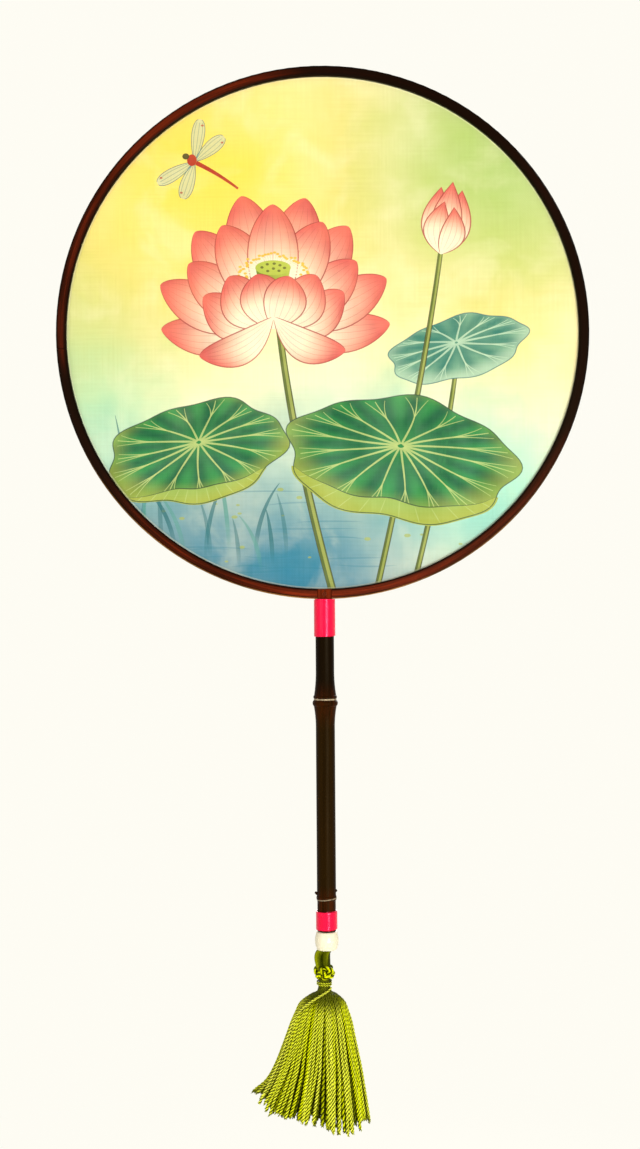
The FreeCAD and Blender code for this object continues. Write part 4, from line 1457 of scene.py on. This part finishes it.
def skirt_point(angle, depth, down):
    """A point of the skirt at an angle round it, a share of its depth and a share of its length."""
    middle, width, thick, slant = (np.interp(down, STATION_DOWN, shares) for shares in (
        STATION_MIDDLE, STATION_WIDTH, STATION_DEPTH, STATION_SLANT))
    aside = depth * SKIRT_WIDTH * width * math.cos(angle)
    back = depth * SKIRT_DEPTH * thick * math.sin(angle)
    drop = down * SKIRT_LENGTH + aside * HEM_SLANT * slant
    return from_knot(SKIRT_WIDTH * middle + aside, back, SHOULDER - drop)


def strand_path(rng, angle, depth, radius):
    """One strand from under the tie over the shoulder to its own ragged end."""
    right, back = math.cos(angle), math.sin(angle)
    end = STRAND_END + rng.uniform(-0.025, 0.015) + HEM_WAVE * math.sin(5.0 * angle + 1.0)
    end -= RIGHT_SHORTER * smooth(0.70, 1.0, right)
    sway, phase = rng.uniform(0.2, 0.8) * MM, rng.uniform(0.0, TURN)
    drift = rng.uniform(-0.03, 0.03)
    drift += sum(strength * math.sin(count * angle + shift) for strength, count, shift in CLUMPS)
    points = [from_knot(ROOT_RADIUS * depth * right, ROOT_RADIUS * depth * back, SKIRT_TOP + ROOT_RISE)]
    thickness = [THICK_ROOT]
    for down in PATH_DOWN:
        share = down * end
        point = skirt_point(angle + drift * share, depth, min(share, 1.0))
        point.z -= max(share - 1.0, 0.0) * SKIRT_LENGTH
        point += Vector((-back, right, 0.0)) * (sway * share * math.sin(phase + 7.0 * share))
        flick = smooth(0.78, 1.0, down) * smooth(0.80, 1.0, -right)
        points.append(point + Vector((-LEFT_ASIDE, 0.0, LEFT_LIFT)) * flick)
        swell = THICK_SHOULDER * smooth(0.0, 0.16, share) + THICK_HEM * smooth(0.2, 0.8, share)
        thickness.append(THICK_TOP + swell)
    tone = min(0.50 + 0.20 * math.sin(4.0 * angle + 0.6) + rng.uniform(-0.60, 0.45), BRIGHTEST)
    return {"points": points, "thickness": np.array(thickness) * radius, "tone": tone, "phase": rng.random(),
            "drift": rng.uniform(-0.4, 0.4)}


def hem_fibres(rng, strands):
    """Loose fibres that splay from the cut end of each strand."""
    fibres = []
    for strand in strands:
        end = strand["points"][-1]
        heading = (end - strand["points"][-2]).normalized()
        for _ in range(FIBRES):
            splay = Vector((rng.uniform(-1.0, 1.0), rng.uniform(-1.0, 1.0), rng.uniform(-0.3, 0.3)))
            reach = rng.uniform(0.4, 1.5) * MM
            points = [end - heading * 0.8 * MM + splay * 0.2 * MM,
                      end + heading * 0.4 * reach + splay * 0.4 * MM,
                      end + heading * reach + splay * rng.uniform(0.5, 1.0) * MM]
            fibres.append({"points": points, "thickness": FIBRE_THICKNESS, "tone": strand["tone"]})
    return fibres


def loose_strand(radius):
    """The strand that leaves the tie on the right and crosses the front to the left."""
    points = [from_knot(3.4 * MM, -2.4 * MM, SKIRT_TOP - 1.6 * MM),
              from_knot(1.2 * MM, -4.6 * MM, SHOULDER + 0.4 * MM),
              from_knot(-4.6 * MM, -6.6 * MM, SHOULDER - 2.6 * MM),
              from_knot(-9.6 * MM, -6.0 * MM, SHOULDER - 6.2 * MM)]
    points += [skirt_point(LOOSE_ANGLE, LOOSE_DEPTH, down) for down in (0.20, 0.34, 0.50, 0.68, 0.84, 0.97)]
    return {"points": points, "thickness": np.linspace(0.62, 0.95, len(points)) * radius, "tone": 1.0}


def tie_path():
    """The bright turns of thread below the knot."""
    points = []
    for share in np.linspace(0.0, 1.0, TIE_STEPS):
        turn = TURN * TIE_TURNS * share - 0.5
        points.append(from_knot(TIE_RADIUS * math.cos(turn), TIE_RADIUS * math.sin(turn),
                                SKIRT_TOP + TIE_RISE - share * TIE_DROP))
    return {"points": points, "thickness": TIE_THREAD, "tone": 0.45}


def hang(name, paths, thread, sizes, *replaced):
    """Cord grown along paths as a piece on no body, in the place of CAD nodes."""
    piece = new_piece(name, grow_cord(name, paths, thread, **sizes), None, replaced)
    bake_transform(piece)


class FAN_OT_hang_strands(bpy.types.Operator):
    """Wind the tie and hang the tassel's twisted strands"""

    bl_idname = "fan.hang_strands"
    bl_label = "Hang Strands"

    def execute(self, context):
        thread = context.scene.fan_thread
        radius, count = thread.strand_radius, thread.strand_count
        rng = random.Random(23)
        outer, inner = [], []
        for number in range(count):
            angle = TURN * (number + rng.uniform(-0.2, 0.2)) / count
            outer.append(strand_path(rng, angle, rng.uniform(0.93, 0.99), radius))
        for depth, share, darker, thicker in SKIRT_LAYERS:
            layer = int(count * share)
            for number in range(layer):
                strand = strand_path(rng, TURN * (number + rng.random()) / layer, depth, radius * thicker)
                strand["tone"] -= darker
                inner.append(strand)
        fibres = hem_fibres(rng, outer + inner)
        half = count // 2
        hang("front_strands", outer[half:] + [loose_strand(radius)], thread, STRAND_SIZES, "tassel_skirt")
        hang("back_strands", outer[:half], thread, STRAND_SIZES)
        hang("inner_strands", inner, thread, INNER_SIZES)
        mesh = grow_cord("hem_fibres", fibres, thread, **FIBRE_SIZES)
        new_piece("hem_fibres", mesh, "tassel", [])
        hang("tie_thread", [tie_path()], thread, TIE_SIZES, "tassel_tie")
        return {"FINISHED"}


# Stage

CAMERA_PLACE = (-0.0021, -0.7800, 0.1130)
CAMERA_ROLL = math.radians(0.4)
CAMERA_LENS = 50.0
SENSOR_HEIGHT = 36.0
FLOOR_RADIUS = 4.0
FLOOR_LIFT = 0.12
SHADOW_NEAR = 0.10
SHADOW_FAR = 0.50
SOFT_LIGHT = (1.0, 0.985, 0.96)
# Lamps: name, place, the point it faces, side, and share of the key power
LAMPS = (
    ("key", (0.50, -1.20, -0.10), (0.0, 0.0, 0.10), 0.45, 1.0),
    ("fill", (-0.8, -1.1, 0.35), (0.0, 0.0, 0.10), 0.9, 0.35),
    ("back", (0.3, 1.3, 0.6), (0.0, 0.0, 0.14), 0.9, 1.0),
)


def empty_net(holder):
    """The net of a material or a world, without the nodes that it starts with."""
    holder.use_nodes = True
    holder.node_tree.nodes.clear()
    return Net(holder.node_tree)


def rays_that_see(net):
    """A mask of the rays that see the pale background: camera, glossy and transmission rays."""
    path = net.add("ShaderNodeLightPath").outputs
    kinds = ("Camera", "Glossy", "Transmission")
    camera, glossy, through = (Wire(net, path[f"Is {kind} Ray"]) for kind in kinds)
    return camera.most(glossy).most(through)


def floor_material(backdrop):
    """Pale floor that keeps the shadow near the fan and runs out into the background."""
    material = bpy.data.materials.new("pale_floor")
    net = empty_net(material)
    distance = net.wire("ShaderNodeTexCoord", "Object").times(WITHOUT_HEIGHT).length()
    seen = rays_that_see(net)
    matte = net.wire("ShaderNodeBsdfDiffuse", 0, {"Color": backdrop})
    lift = net.wire("ShaderNodeEmission", 0, {"Color": backdrop, "Strength": seen * FLOOR_LIFT})
    lifted = net.wire("ShaderNodeAddShader", 0, {0: matte, 1: lift})
    pale = net.wire("ShaderNodeEmission", 0, {"Color": backdrop, "Strength": 1.0})
    share = seen * distance.ease(SHADOW_NEAR, SHADOW_FAR)
    shown = net.wire("ShaderNodeMixShader", 0, {0: share, 1: lifted, 2: pale})
    net.add("ShaderNodeOutputMaterial", {"Surface": shown})
    return material


def light_world(backdrop, ambient):
    """Soft light from all round, with the pale background behind the fan."""
    world = bpy.data.worlds.new("studio")
    net = empty_net(world)
    soft = net.wire("ShaderNodeBackground", 0, {"Color": SOFT_LIGHT, "Strength": ambient})
    pale = net.wire("ShaderNodeBackground", 0, {"Color": backdrop, "Strength": 1.0})
    shown = net.wire("ShaderNodeMixShader", 0, {0: rays_that_see(net), 1: soft, 2: pale})
    net.add("ShaderNodeOutputWorld", {"Surface": shown})
    bpy.context.scene.world = world


def add_lamp(name, place, aim, side, power):
    """A soft square lamp that faces a point."""
    lamp = bpy.data.lights.new(name, "AREA")
    lamp.size = side
    lamp.energy = power
    holder = bpy.data.objects.new(name, lamp)
    holder.visible_camera = False
    holder.location = place
    holder.rotation_euler = (Vector(aim) - Vector(place)).to_track_quat("-Z", "Y").to_euler()
    bpy.context.scene.collection.objects.link(holder)


def lay_floor(stage):
    """A round pale floor."""
    mesh = bpy.data.meshes.new("floor")
    shape = bmesh.new()
    bmesh.ops.create_circle(shape, cap_ends=True, segments=64, radius=FLOOR_RADIUS)
    bmesh.ops.translate(shape, verts=shape.verts, vec=(0.0, 0.0, stage.floor_height))
    shape.to_mesh(mesh)
    shape.free()
    mesh.materials.append(floor_material(stage.backdrop))
    floor = bpy.data.objects.new("floor", mesh)
    bpy.context.scene.collection.objects.link(floor)


def place_camera():
    """The camera at the photograph's viewing angle."""
    lens = bpy.data.cameras.new("camera")
    lens.sensor_fit = "VERTICAL"
    lens.sensor_height = SENSOR_HEIGHT
    lens.lens = CAMERA_LENS
    camera = bpy.data.objects.new("camera", lens)
    camera.location = CAMERA_PLACE
    camera.rotation_euler = (math.pi / 2.0, CAMERA_ROLL, 0.0)
    bpy.context.scene.collection.objects.link(camera)
    bpy.context.scene.camera = camera


class FAN_OT_set_stage(bpy.types.Operator):
    """Lay the floor and set the light and the camera"""

    bl_idname = "fan.set_stage"
    bl_label = "Set Stage"

    def execute(self, context):
        stage = context.scene.fan_stage
        lay_floor(stage)
        light_world(stage.backdrop, stage.ambient)
        for name, place, aim, side, share in LAMPS:
            add_lamp(name, place, aim, side, stage.key_power * share)
        place_camera()
        context.scene.view_settings.view_transform = "Standard"
        return {"FINISHED"}


OPERATORS = (
    FAN_OT_dress_hoops, FAN_OT_dress_handle, FAN_OT_stretch_silk, FAN_OT_wind_bindings, FAN_OT_dress_bead,
    FAN_OT_tie_knot, FAN_OT_hang_strands, FAN_OT_set_stage,
)
SETTINGS = (
    ("fan_face", FanFaceSettings), ("fan_wood", FanWoodSettings), ("fan_thread", FanThreadSettings),
    ("fan_stage", FanStageSettings),
)


class FAN_PT_sidebar(bpy.types.Panel):
    """The fan's settings and steps"""

    bl_idname = "FAN_PT_sidebar"
    bl_label = "Round Silk Fan"
    bl_space_type = "VIEW_3D"
    bl_region_type = "UI"
    bl_category = "Fan"

    def draw(self, context):
        for name, group in SETTINGS:
            box = self.layout.box()
            for key in group.__annotations__:
                box.prop(getattr(context.scene, name), key)
        for operator in OPERATORS:
            self.layout.operator(operator.bl_idname)


def register():
    """Registers the settings, the steps and the panel."""
    for name, group in SETTINGS:
        bpy.utils.register_class(group)
        setattr(bpy.types.Scene, name, PointerProperty(type=group))
    for operator in OPERATORS:
        bpy.utils.register_class(operator)
    bpy.utils.register_class(FAN_PT_sidebar)


def unregister():
    """Removes what register added."""
    bpy.utils.unregister_class(FAN_PT_sidebar)
    for operator in reversed(OPERATORS):
        bpy.utils.unregister_class(operator)
    for name, group in reversed(SETTINGS):
        delattr(bpy.types.Scene, name)
        bpy.utils.unregister_class(group)


def main():
    """Builds the fan step by step."""
    register()
    bpy.ops.fan.dress_hoops()
    bpy.ops.fan.dress_handle()
    bpy.ops.fan.stretch_silk()
    bpy.ops.fan.wind_bindings()
    bpy.ops.fan.dress_bead()
    bpy.ops.fan.tie_knot()
    bpy.ops.fan.hang_strands()
    bpy.ops.fan.set_stage()


if __name__ == "__main__":
    main()
